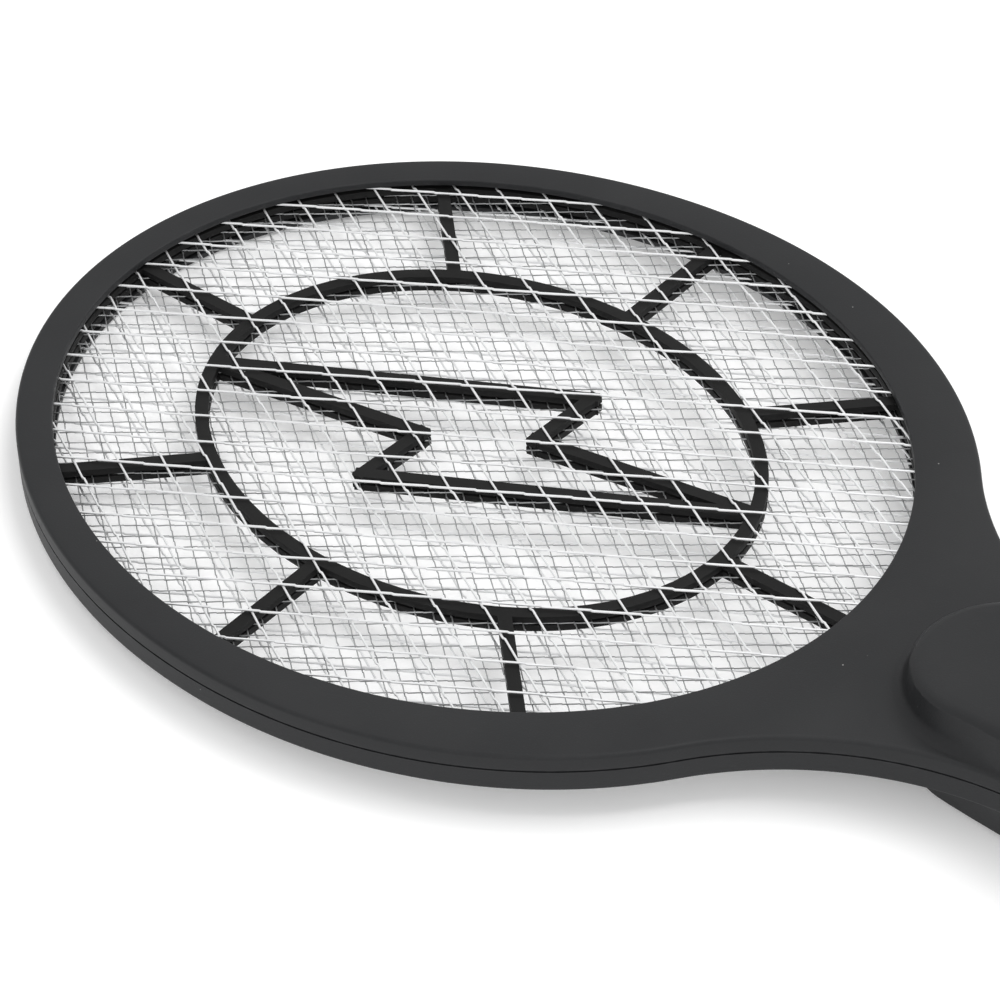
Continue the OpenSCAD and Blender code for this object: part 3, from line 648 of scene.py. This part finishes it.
def make_dust():
    """Thin dust on faces that look up, with stray specks."""
    group, source, result = new_group(
        "dust", [("Amount", "Float", 0.2), ("Speck Scale", "Float", 900.0)],
        [("Mask", "Float"), ("Specks", "Float")])
    place = object_place(group)
    facing = group.nodes.new("ShaderNodeNewGeometry")
    parts = group.nodes.new("ShaderNodeSeparateXYZ")
    join(group, facing.outputs["Normal"], parts.inputs[0])
    upward = ramp_node(group, parts.outputs["Z"], 0.4, 1.0)
    clouds = noise_node(group, place, None, 5.0, scale=38.0)
    film = ramp_node(group, clouds.outputs["Fac"], 0.35, 0.75)
    layer = maths(group, "MULTIPLY", upward, film)
    join(group, maths(group, "MULTIPLY", layer, source.outputs["Amount"]), result.inputs["Mask"])
    dots = add_node(group, "ShaderNodeTexVoronoi", feature="F1")
    join(group, place, dots.inputs["Vector"])
    join(group, source.outputs["Speck Scale"], dots.inputs["Scale"])
    small = ramp_node(group, dots.outputs["Distance"], 0.09, 0.03)
    chance = group.nodes.new("ShaderNodeSeparateColor")
    join(group, dots.outputs["Color"], chance.inputs[0])
    rare = ramp_node(group, chance.outputs[0], 0.985, 0.995)
    join(group, maths(group, "MULTIPLY", small, rare), result.inputs["Specks"])
    return group


def make_mottle():
    """Slow change of shade over a surface."""
    group, source, result = new_group(
        "mottle", [("Scale", "Float", 24.0), ("Color", "Color", grey(0.5)),
                   ("Second Color", "Color", grey(0.6))],
        [("Color", "Color"), ("Factor", "Float")])
    cloud = noise_node(group, object_place(group), source.outputs["Scale"], 5.0, distortion=0.3)
    share = ramp_node(group, cloud.outputs["Fac"], 0.3, 0.7)
    mix = add_node(group, "ShaderNodeMix", data_type="RGBA")
    join(group, share, mix.inputs[0])
    join(group, source.outputs["Color"], mix.inputs[6])
    join(group, source.outputs["Second Color"], mix.inputs[7])
    join(group, mix.outputs[2], result.inputs["Color"])
    join(group, share, result.inputs["Factor"])
    return group


def make_scratches():
    """Fine hairlines that run one way."""
    group, source, result = new_group(
        "scratches", [("Scale", "Float", 300.0), ("Stretch", "Vector", (1.0, 30.0, 30.0))],
        [("Mask", "Float"), ("Height", "Float")])
    stretched = add_node(group, "ShaderNodeVectorMath", operation="MULTIPLY")
    join(group, object_place(group), stretched.inputs[0])
    join(group, source.outputs["Stretch"], stretched.inputs[1])
    lines = noise_node(group, stretched.outputs["Vector"], source.outputs["Scale"], 3.0)
    join(group, ramp_node(group, lines.outputs["Fac"], 0.6, 0.75), result.inputs["Mask"])
    join(group, lines.outputs["Fac"], result.inputs["Height"])
    return group


GRAIN = make_spark_grain()
WEAR = make_edge_wear()
DUST = make_dust()
MOTTLE = make_mottle()
SCRATCHES = make_scratches()


# ---- materials

def new_material(name, metallic=0.0, specular=0.5, coat=0.0, coat_roughness=0.1, ior=1.46):
    """Material with one principled shader. Its constant values sit on the shader itself."""
    material = bpy.data.materials.new(name)
    material.use_nodes = True
    tree = material.node_tree
    shader = tree.nodes["Principled BSDF"]
    shader.inputs["Metallic"].default_value = metallic
    shader.inputs["Specular IOR Level"].default_value = specular
    shader.inputs["Coat Weight"].default_value = coat
    shader.inputs["Coat Roughness"].default_value = coat_roughness
    shader.inputs["IOR"].default_value = ior
    return material, tree, shader


def place_group(tree, group, **values):
    """A shared group placed in a material, with this material's own values."""
    node = add_node(tree, "ShaderNodeGroup", node_tree=group)
    for label, value in values.items():
        node.inputs[label.replace("_", " ")].default_value = value
    return node


def shaded(color, share):
    """The colour made darker or lighter by a share."""
    return tuple(min(1, c * share) for c in color[:3]) + (1,)


def mottled(tree, shader, scale, color, second, low, high):
    """A mottle of two colours, with the roughness following it from low to high."""
    mottle = place_group(tree, MOTTLE, Scale=scale, Color=color, Second_Color=second)
    rough = ramp_node(tree, mottle.outputs["Factor"], 0.0, 1.0, low, high)
    join(tree, rough, shader.inputs["Roughness"])
    return mottle


def layered(tree, base, top_color, mask):
    """A colour with another laid over it where the mask says."""
    mix = add_node(tree, "ShaderNodeMix", data_type="RGBA")
    join(tree, mask, mix.inputs[0])
    join(tree, base, mix.inputs[6])
    mix.inputs[7].default_value = top_color
    return mix.outputs[2]


def bumped(tree, shader, height, distance, strength=1.0):
    bump = add_node(tree, "ShaderNodeBump")
    bump.inputs["Distance"].default_value = distance
    bump.inputs["Strength"].default_value = strength
    join(tree, height, bump.inputs["Height"])
    join(tree, bump.outputs["Normal"], shader.inputs["Normal"])


def moulded_plastic(name, color, second, roughness, spread, grain_scale, grain_depth,
                    wear_color, wear_amount, dust_amount, specular=0.5):
    """Moulded plastic: mottled shade, spark grain, worn edges and a little dust."""
    material, tree, shader = new_material(name, specular=specular)
    mottle = place_group(tree, MOTTLE, Scale=30.0, Color=color, Second_Color=second)
    grain = place_group(tree, GRAIN, Scale=grain_scale, Coarse_Scale=grain_scale / 5)
    wear = place_group(tree, WEAR, Radius=0.0005, Breakup_Scale=260.0)
    dust = place_group(tree, DUST, Amount=dust_amount, Speck_Scale=420.0)
    lighter = tuple(c * 1.35 + 0.004 for c in color[:3]) + (1,)
    speckle_amount = 0.5
    dust_color = (0.55, 0.54, 0.52, 1)
    speck_color = (0.42, 0.42, 0.41, 1)
    shade = layered(tree, mottle.outputs["Color"], lighter, maths(
        tree, "MULTIPLY", grain.outputs["Speckle"], speckle_amount))
    shade = layered(tree, shade, wear_color, maths(
        tree, "MULTIPLY", wear.outputs["Mask"], wear_amount))
    shade = layered(tree, shade, dust_color, dust.outputs["Mask"])
    shade = layered(tree, shade, speck_color, dust.outputs["Specks"])
    join(tree, shade, shader.inputs["Base Color"])
    rough = ramp_node(tree, mottle.outputs["Factor"], 0.0, 1.0, roughness, roughness + spread)
    rough = maths(tree, "ADD", rough, maths(tree, "MULTIPLY", dust.outputs["Mask"], 0.6))
    rough = maths(tree, "SUBTRACT", rough, maths(tree, "MULTIPLY", wear.outputs["Mask"], 0.12))
    join(tree, rough, shader.inputs["Roughness"])
    bumped(tree, shader, grain.outputs["Height"], grain_depth)
    return material


def drawn_metal(name, color, second, roughness, stretch, depth=0.00003, scale=400.0):
    """Bright metal with hairlines and small changes of tone."""
    material, tree, shader = new_material(name, metallic=1.0)
    mottle = mottled(tree, shader, 160.0, color, second, roughness, roughness + 0.12)
    lines = place_group(tree, SCRATCHES, Scale=scale, Stretch=stretch)
    shade = layered(tree, mottle.outputs["Color"], shaded(color, 0.8),
                    maths(tree, "MULTIPLY", lines.outputs["Mask"], 0.5))
    join(tree, shade, shader.inputs["Base Color"])
    bumped(tree, shader, lines.outputs["Height"], depth)
    return material


def soft_insulation(name, color):
    """Soft lead covering with a slight print of its extrusion."""
    return moulded_plastic(name, color, shaded(color, 0.8), 0.38, 0.12, 1400.0, 0.00002,
                           shaded(color, 1.3), 0.2, 0.05)


def solder_mask(name):
    """Green board with copper tracks under its lacquer."""
    material, tree, shader = new_material(name, coat=0.4, coat_roughness=0.15)
    place = object_place(tree)
    cells = add_node(tree, "ShaderNodeTexVoronoi", feature="DISTANCE_TO_EDGE",
                     distance="EUCLIDEAN")
    join(tree, place, cells.inputs["Vector"])
    cells.inputs["Scale"].default_value = 130.0
    tracks = ramp_node(tree, cells.outputs["Distance"], 0.1, 0.12)
    mottle = mottled(tree, shader, 60.0, (0.012, 0.11, 0.035, 1), (0.016, 0.14, 0.045, 1),
                     0.3, 0.45)
    shade = layered(tree, mottle.outputs["Color"], (0.05, 0.24, 0.07, 1), tracks)
    join(tree, shade, shader.inputs["Base Color"])
    bumped(tree, shader, tracks, 0.00004)
    return material


def banded_body(name, color, bands):
    """Small axial part with painted bands across its length."""
    material, tree, shader = new_material(name, coat=0.3)
    parts = tree.nodes.new("ShaderNodeSeparateXYZ")
    join(tree, object_place(tree), parts.inputs[0])
    mottle = mottled(tree, shader, 200.0, color, shaded(color, 0.85), 0.35, 0.5)
    shade = mottle.outputs["Color"]
    for centre, half, tint in bands:
        gap = maths(tree, "ABSOLUTE", maths(tree, "SUBTRACT", parts.outputs["X"], centre), 0)
        shade = layered(tree, shade, tint, ramp_node(tree, gap, half, half * 0.9))
    join(tree, shade, shader.inputs["Base Color"])
    bumped(tree, shader, mottle.outputs["Factor"], 0.00003)
    return material


def clear_red(name):
    """Clear tinted epoxy of the light."""
    material, tree, shader = new_material(name, ior=1.5)
    shader.inputs["Transmission Weight"].default_value = 0.75
    mottle = mottled(tree, shader, 300.0, (0.75, 0.03, 0.02, 1), (0.6, 0.02, 0.015, 1),
                     0.06, 0.14)
    join(tree, mottle.outputs["Color"], shader.inputs["Base Color"])
    bumped(tree, shader, mottle.outputs["Factor"], 0.00001)
    return material


def cell_sleeve(name):
    """Shrink sleeve of a dry cell: two plain tones along its length."""
    material, tree, shader = new_material(name, metallic=0.6, coat=0.5)
    parts = tree.nodes.new("ShaderNodeSeparateXYZ")
    join(tree, object_place(tree), parts.inputs[0])
    low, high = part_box("battery_cell_front")
    dark_share = 0.72
    blend_width = 0.0002
    split = low[0] + (high[0] - low[0]) * dark_share
    end = ramp_node(tree, parts.outputs["X"], split, split + blend_width)
    mottle = mottled(tree, shader, 90.0, (0.03, 0.034, 0.045, 1), (0.04, 0.045, 0.058, 1),
                     0.25, 0.38)
    shade = layered(tree, mottle.outputs["Color"], (0.55, 0.33, 0.16, 1), end)
    join(tree, shade, shader.inputs["Base Color"])
    bumped(tree, shader, mottle.outputs["Factor"], 0.00003)
    return material


CHARCOAL = moulded_plastic("charcoal casing", (0.0155, 0.0160, 0.0172, 1),
                           (0.0188, 0.0194, 0.0206, 1), 0.46, 0.07, 2600.0, 0.000035,
                           (0.06, 0.06, 0.063, 1), 0.45, 0.008, specular=0.27)
RIB_BLACK = moulded_plastic("black ribs", grey(0.006), grey(0.009),
                            0.55, 0.12, 1500.0, 0.00004, grey(0.03), 0.3, 0.008,
                            specular=0.2)
BUTTON_BLACK = moulded_plastic("button plastic", (0.022, 0.022, 0.024, 1),
                               (0.028, 0.028, 0.03, 1), 0.36, 0.08, 1800.0, 0.00002,
                               (0.09, 0.09, 0.095, 1), 0.5, 0.02)
OUTER_WIRE = drawn_metal("bright outer wire", (0.95, 0.955, 0.96, 1), (0.88, 0.885, 0.89, 1),
                         0.5, (20.0, 20.0, 1.0))
FINE_WIRE = drawn_metal("fine centre wire", (0.50, 0.505, 0.51, 1), (0.40, 0.405, 0.41, 1),
                        0.38, (20.0, 20.0, 1.0))
SCREW_STEEL = drawn_metal("zinc plated screws", (0.62, 0.63, 0.64, 1), (0.5, 0.51, 0.53, 1),
                          0.28, (30.0, 1.0, 30.0))
TINNED = drawn_metal("tinned strip", (0.7, 0.69, 0.65, 1), (0.6, 0.59, 0.55, 1),
                     0.32, (1.0, 30.0, 30.0))
SPRING = drawn_metal("nickel spring", (0.66, 0.65, 0.62, 1), (0.58, 0.57, 0.54, 1),
                     0.25, (20.0, 20.0, 1.0))


# ---- visible pieces

def make_casing():
    """Both halves, with their holes for the controls, the screws and the battery door."""
    slot = slot_loop(SLIDER_X - SLOT_BEFORE, SLIDER_X + SLOT_AFTER, -SLOT_HALF, SLOT_HALF,
                     SLOT_CORNER)
    front_holes = [circle_loop(LED_X, 0, LED_HOLE), circle_loop(BUTTON_X, 0, BUTTON_HOLE), slot,
                   circle_loop(HANG_X, 0, HANG_RADIUS)]
    start, end, half = WINDOW
    rear_holes = [circle_loop(x, y, SCREW_HOLE) for x, y in THROAT_SCREWS + HANDLE_SCREWS]
    rear_holes += [circle_loop(HANG_X, 0, HANG_RADIUS),
                   slot_loop(start, end, -half, half, WINDOW_CORNER)]
    casing_half("casing_front", True, front_holes, CHARCOAL, "front_shell")
    casing_half("casing_rear", False, rear_holes, CHARCOAL, "rear_shell")


def make_bosses():
    """Screw wells behind the back face, and the tube of the hanging hole."""
    well_wall = 1.0
    shank_hole = 1.75
    well_top = SEAM_Z - 0.1
    into_wall = 0.2
    tube_wall = 2
    outside = SCREW_HOLE + well_wall
    wells = [(spot, 12.2, 13.1) for spot in THROAT_SCREWS]
    wells += [(spot, 1.6, 2.4) for spot in HANDLE_SCREWS]
    parts = []
    for (x, y), bottom, ledge in wells:
        parts.append(lathe_parts([
            (SCREW_HOLE, bottom), (outside, bottom), (outside, well_top),
            (shank_hole, well_top), (shank_hole, ledge), (SCREW_HOLE, ledge)], x, y))
    low, high = WALL - into_wall, HANDLE_TOP - WALL + into_wall
    parts.append(lathe_parts([
        (HANG_RADIUS, low), (HANG_RADIUS + tube_wall, low),
        (HANG_RADIUS + tube_wall, high), (HANG_RADIUS, high)], HANG_X, 0))
    new_piece("screw_wells_and_hang_tube", joined_mesh("wells", parts), "casing",
              CHARCOAL)


def make_tray():
    """Walls of the battery bay, open to the door."""
    start, end, half, top = 230.4, 291.3, 17.0, 18.6
    end_wall = 1.6
    side_wall = 1.2
    low = WALL - 0.1
    edge = 0.2
    parts = [box_parts((start, -half, low), (start + end_wall, half, top)),
             box_parts((end - end_wall, -half, low), (end, half, top)),
             box_parts((start, -half, low), (end, -half + side_wall, top)),
             box_parts((start, half - side_wall, low), (end, half, top)),
             box_parts((start, -half, top - side_wall), (end, half, top))]
    mesh = mesh_from("tray", *gathered(parts))
    softened_mesh(mesh, edge)
    new_piece("battery_tray", mesh, "casing", CHARCOAL)


def make_meshes():
    """The front and rear meshes, alike, and the finer mesh between them."""
    outer = dict(wire=0.55, cell=10.66, half_angle=math.radians(28.8), turn=math.radians(1.9),
                 shifts=(0.54, 0.76), bond=0.6, stray=0.1)
    fine = dict(wire=0.3, cell=3.68, half_angle=math.radians(38.2), turn=0.0,
                shifts=(0.0, 0.0), bond=0.25, stray=0.08)
    for name, level, node in (("front_wires", MID_Z + OUTER_MESH, "front_mesh"),
                              ("rear_wires", MID_Z - OUTER_MESH, "rear_mesh")):
        wire_piece(name, wire_paths(level, **outer), outer["wire"], 8, OUTER_WIRE, node)
    wire_piece("centre_wires", wire_paths(MID_Z, **fine), fine["wire"], 6, FINE_WIRE,
               "centre_mesh")


def screw_head_parts(x, y, low, radius=2.8, height=2.0):
    """Pan head with a cross recess, its face looking down."""
    steps = 72
    dome_height = 0.45
    edge_width = 0.3
    edge_rise = 0.35
    recess_depth = 1.15
    centre_depth = 1.3
    arm_half, arm_slope = 0.55, 0.18
    arm_reach, reach_slope = 1.75, 0.3
    rings = np.r_[0, 0.25, np.linspace(0.45, radius - 0.5, 12), radius - 0.25, radius - 0.08,
                  radius]
    points = [(x, y, low + centre_depth)]
    for r in rings[1:]:
        for k in range(steps):
            turn = 2 * math.pi * k / steps
            px, py = r * math.cos(turn), r * math.sin(turn)
            dome = dome_height * (r / radius) ** 2.5
            if r > radius - edge_width:
                dome += edge_rise * ((r - radius + edge_width) / edge_width) ** 2
            near, far = min(abs(px), abs(py)), max(abs(px), abs(py))
            across = max(0.0, min(1.0, (arm_half - near) / arm_slope))
            outward = max(0.0, min(1.0, (arm_reach - far) / reach_slope))
            points.append((x + px, y + py, low + dome + recess_depth * across * outward))
    top = len(points)
    points += [(x + radius * math.cos(2 * math.pi * k / steps),
                y + radius * math.sin(2 * math.pi * k / steps), low + height)
               for k in range(steps)]
    faces = [(0, 1 + k, 1 + (k + 1) % steps) for k in range(steps)]
    for ring in range(len(rings) - 2):
        a, b = 1 + ring * steps, 1 + (ring + 1) * steps
        faces += [(a + k, b + k, b + (k + 1) % steps, a + (k + 1) % steps) for k in range(steps)]
    a = 1 + (len(rings) - 2) * steps
    faces += [(a + k, top + k, top + (k + 1) % steps, a + (k + 1) % steps) for k in range(steps)]
    faces.append([top + k for k in range(steps)][::-1])
    return points, faces


def threaded_shank_parts(x, y, low, high, radius=1.3, pitch=1.1):
    """Shank with rounded thread ridges, from under the head to a blunt point."""
    ridge_height = 0.14
    smooth_steps = 4
    point_length = 1.0
    point_radius = 0.4
    step = pitch / 4
    profile = [(0.0, low)]
    count = int((high - low - point_length) / step)
    for i in range(count + 1):
        ridge = ridge_height * math.sin(i * math.pi / 2) if i > smooth_steps else 0
        profile.append((radius + ridge, low + i * step))
    profile += [(point_radius, high), (0.0, high)]
    return lathe_parts(profile, x, y, 32)


def make_screws():
    """Four screws, as (place, face of the head, start of the shank, point)."""
    screws = [(spot, 11.08, 12.9, 18.3) for spot in THROAT_SCREWS]
    screws += [(spot, 0.38, 2.2, 24.2) for spot in HANDLE_SCREWS]
    parts = []
    for (x, y), face, start, end in screws:
        parts += [screw_head_parts(x, y, face), threaded_shank_parts(x, y, start, end)]
    mesh = joined_mesh("screws", parts)
    new_piece("case_screws_crosshead", mesh, "casing", SCREW_STEEL,
              replaces=["case_screws"])


def make_button():
    """Button with two grip rings on its face, a flange inside the casing and a stem."""
    low, high = box_mm("push_button")
    top = high[2]
    radius, flange_radius, stem_radius = 6.5, 7.9, 2.2
    flange_top, flange_bottom, body_bottom = 29.1, 27.6, 27.2
    cap = [(0, top - 0.55), (2.0, top - 0.5), (3.2, top - 0.42), (3.4, top - 0.2),
           (3.7, top - 0.2), (3.9, top - 0.36), (4.5, top - 0.28), (4.7, top - 0.08),
           (5.0, top - 0.08), (5.2, top - 0.18), (5.7, top - 0.1), (6.1, top - 0.22),
           (6.4, top - 0.5), (radius, top - 0.9), (radius, flange_top),
           (flange_radius, flange_top), (flange_radius, flange_bottom), (radius, flange_bottom),
           (radius, body_bottom), (stem_radius, body_bottom), (stem_radius, low[2]), (0, low[2])]
    mesh = joined_mesh("button", [lathe_parts(cap, BUTTON_X, 0, 72)])
    new_piece("push_button_cap", mesh, "button", BUTTON_BLACK,
              replaces=["push_button"])


def make_slider():
    """Slider with five grip ridges, a flange under the casing and a fork to its switch."""
    low, high = box_mm("power_slider")
    top = high[2]
    length_half, width_half = 4.5, 2.5
    knob_bottom, flange_top, flange_bottom = 28.9, 29.0, 28.0
    fork_top = 28.2
    valley = top - 0.5
    ridges, ridge_pitch = 5, 1.8
    ridge_foot, ridge_crest = 0.45, 0.25
    outline = [(-length_half, knob_bottom), (-length_half, valley)]
    for i in range(ridges):
        x = ridge_pitch * (i - (ridges - 1) / 2)
        outline += [(x - ridge_foot, valley), (x - ridge_crest, top), (x + ridge_crest, top),
                    (x + ridge_foot, valley)]
    outline += [(length_half, valley), (length_half, knob_bottom)]
    count = len(outline)
    points = [(SLIDER_X + x, y, z) for y in (-width_half, width_half) for x, z in outline]
    faces = [list(range(count)), list(range(count, 2 * count))[::-1]]
    faces += [(i, i + count, (i + 1) % count + count, (i + 1) % count) for i in range(count)]
    parts = [(points, faces),
             box_parts((SLIDER_X - 6.5, -4, flange_bottom), (SLIDER_X + 6.5, 4, flange_top)),
             box_parts((SLIDER_X - 1.5, -1.2, low[2]), (SLIDER_X + 1.5, 1.2, fork_top))]
    edge = 0.15
    mesh = softened_mesh(joined_mesh("slider", parts), edge)
    new_piece("power_slider_knob", mesh, "slider", BUTTON_BLACK,
              replaces=["power_slider"])


def make_light():
    """Domed indicator light on two legs."""
    low, high = box_mm("indicator_led")
    tip = high[2]
    radius, body_length = 1.5, 5
    leg_offset, leg_half, leg_edge = 0.8, 0.2, 0.06
    leg_top = tip - 4.9
    dome = [(radius * math.sin(t), tip - radius + radius * math.cos(t))
            for t in np.linspace(0, math.pi / 2, 12)]
    profile = dome + [(radius, tip - 4.6), (radius, tip - body_length), (0, tip - body_length)]
    parts = [lathe_parts(profile, LED_X, 0, 48)]
    new_piece("indicator_dome", joined_mesh("dome", parts), "casing",
              clear_red("red light resin"), replaces=["indicator_led"])
    legs = []
    for side in (-1, 1):
        x = LED_X + side * leg_offset
        legs.append(box_parts((x - leg_half, -leg_half, low[2]), (x + leg_half, leg_half, leg_top)))
    mesh = softened_mesh(mesh_from("legs", *gathered(legs)), leg_edge)
    new_piece("indicator_legs", mesh, "casing", TINNED)


def finish_nodes():
    """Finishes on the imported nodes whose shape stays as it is."""
    red = soft_insulation("red insulation", (0.42, 0.02, 0.02, 1))
    white = soft_insulation("white insulation", (0.7, 0.68, 0.63, 1))
    black = soft_insulation("black insulation", (0.015, 0.015, 0.016, 1))
    resin = moulded_plastic("black resin", grey(0.012), grey(0.018),
                            0.25, 0.1, 1500.0, 0.00002, grey(0.06), 0.3, 0.0)
    ferrite = moulded_plastic("ferrite", (0.05, 0.05, 0.055, 1), (0.065, 0.065, 0.07, 1),
                              0.5, 0.15, 2200.0, 0.00006, (0.13, 0.13, 0.14, 1), 0.6, 0.0)
    tape = moulded_plastic("coil tape", (0.62, 0.42, 0.06, 1), (0.55, 0.36, 0.05, 1),
                           0.3, 0.15, 700.0, 0.00005, (0.8, 0.6, 0.2, 1), 0.3, 0.0)
    dipped = moulded_plastic("dipped capacitor", (0.33, 0.05, 0.02, 1), (0.28, 0.04, 0.018, 1),
                             0.2, 0.12, 600.0, 0.00004, (0.5, 0.12, 0.06, 1), 0.3, 0.0)
    smooth = moulded_plastic("switch plastic", (0.018, 0.018, 0.02, 1),
                             (0.024, 0.024, 0.026, 1), 0.3, 0.1, 1500.0, 0.00002,
                             grey(0.08), 0.3, 0.0)
    ivory = moulded_plastic("plunger plastic", (0.68, 0.67, 0.6, 1), (0.62, 0.61, 0.55, 1),
                            0.3, 0.1, 1500.0, 0.00002, (0.8, 0.8, 0.75, 1), 0.3, 0.0)
    finishes = {
        "front_lead": red, "centre_lead": white, "rear_lead": black,
        "positive_lead": red, "negative_lead": black,
        "front_terminal": TINNED, "centre_terminal": TINNED, "rear_terminal": TINNED,
        "battery_positive": TINNED, "battery_negative": TINNED, "battery_link": TINNED,
        "slide_switch_body": TINNED, "board_screws": SCREW_STEEL, "battery_springs": SPRING,
        "circuit_board": solder_mask("green board"), "transformer_core": ferrite,
        "transformer_coil": tape, "storage_capacitor": dipped, "transistor": resin,
        "diodes": banded_body("diode bodies", (0.015, 0.015, 0.016, 1),
                              [(box_mm("diodes")[0][0] * MM + 0.0062, 0.0004,
                                grey(0.6))]),
        "resistors": banded_body("resistor bodies", (0.55, 0.42, 0.25, 1), [
            (sum(box_mm("resistors"))[0] / 2 * MM + step, 0.0003, tint)
            for step, tint in ((-0.0018, (0.35, 0.12, 0.02, 1)), (-0.0006, grey(0.02)),
                               (0.0006, (0.5, 0.05, 0.02, 1)), (0.002, (0.5, 0.36, 0.1, 1)))]),
        "switch_body": smooth, "switch_plunger": ivory,
        "battery_cell_front": cell_sleeve("cell sleeve"),
        "battery_cell_rear": cell_sleeve("second cell sleeve"),
    }
    for node, material in finishes.items():
        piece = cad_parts[node]
        if not piece.material_slots:
            piece.data.materials.append(material)
        for slot in piece.material_slots:
            slot.material = material


# ---- floor, light and camera

def make_floor():
    """Pale floor that the tip of the head and the back of the handle rest on, glowing faintly all
    over: painted light that lifts the shadow under the head.
    """
    rise, run = 10.7, 274.0
    rest_x = 51.5
    gap = 0.05
    squares, size = 24, 3.0
    work = bmesh.new()
    bmesh.ops.create_grid(work, x_segments=squares, y_segments=squares, size=size)
    mesh = bpy.data.meshes.new("floor")
    work.to_mesh(mesh)
    work.free()
    floor = add_object("floor", mesh)
    floor.matrix_world = (Matrix.Translation((rest_x * MM, 0, -gap * MM))
                          @ Matrix.Rotation(math.atan2(rise, run), 4, "Y"))
    material, tree, shader = new_material("studio paper with painted glow", specular=0.2)
    mottle = place_group(tree, MOTTLE, Scale=6.0, Color=grey(0.90),
                         Second_Color=grey(0.92))
    join(tree, mottle.outputs["Color"], shader.inputs["Base Color"])
    shader.inputs["Roughness"].default_value = 0.9
    # Painted light: the floor glows faintly, though it is no lamp, so the shadow under the head and
    # seen through the mesh comes out lighter.
    shader.inputs["Emission Color"].default_value = grey(1)
    shader.inputs["Emission Strength"].default_value = 0.2
    mesh.materials.append(material)


def area_light(name, place, size, power):
    """Soft square lamp aimed at the head."""
    target = (-0.1, 0, 0)
    data = bpy.data.lights.new(name, "AREA")
    data.shape = "RECTANGLE"
    data.size = size
    data.size_y = size
    data.energy = power
    light = add_object(name, data)
    light.location = place
    aim = Vector(target) - Vector(place)
    light.rotation_euler = aim.to_track_quat("-Z", "Y").to_euler()


def make_lights():
    """White studio air, a key lamp behind the head and a fill in front."""
    scene = bpy.context.scene
    world = bpy.data.worlds.new("studio")
    world.use_nodes = True
    background = world.node_tree.nodes["Background"].inputs
    background["Color"].default_value = grey(1)
    background["Strength"].default_value = 0.75
    scene.world = world
    scene.view_settings.view_transform = "Standard"
    area_light("key", (0.45, 0.85, 1.9), size=1.4, power=24)
    area_light("fill", (0.9, -1.4, 1.2), size=1.4, power=7)


def make_camera():
    """Camera that looks down on the head from the side of the handle."""
    data = bpy.data.cameras.new("camera")
    data.sensor_width = 36
    data.lens = 144
    camera = add_object("camera", data)
    target = Vector((-0.09231, -0.01675, 0.020))
    azimuth, elevation, roll = (math.radians(a) for a in (40.758, 40.400, -1.940))
    distance = 0.87192
    away = Vector((math.sin(azimuth) * math.cos(elevation),
                   -math.cos(azimuth) * math.cos(elevation), math.sin(elevation)))
    turn = (-away).to_track_quat("-Z", "Y").to_matrix().to_4x4()
    camera.matrix_world = (Matrix.Translation(target + away * distance) @ turn
                           @ Matrix.Rotation(roll, 4, "Z"))
    bpy.context.scene.camera = camera


make_floor()
make_lights()
make_camera()
make_casing()
make_bosses()
make_tray()
make_meshes()
for node in ("front_ribs", "rear_ribs"):
    softened_node(node, "casing", RIB_BLACK, 0.3)
softened_node("battery_door", "door", CHARCOAL, 0.3)
make_screws()
make_button()
make_slider()
make_light()
finish_nodes()
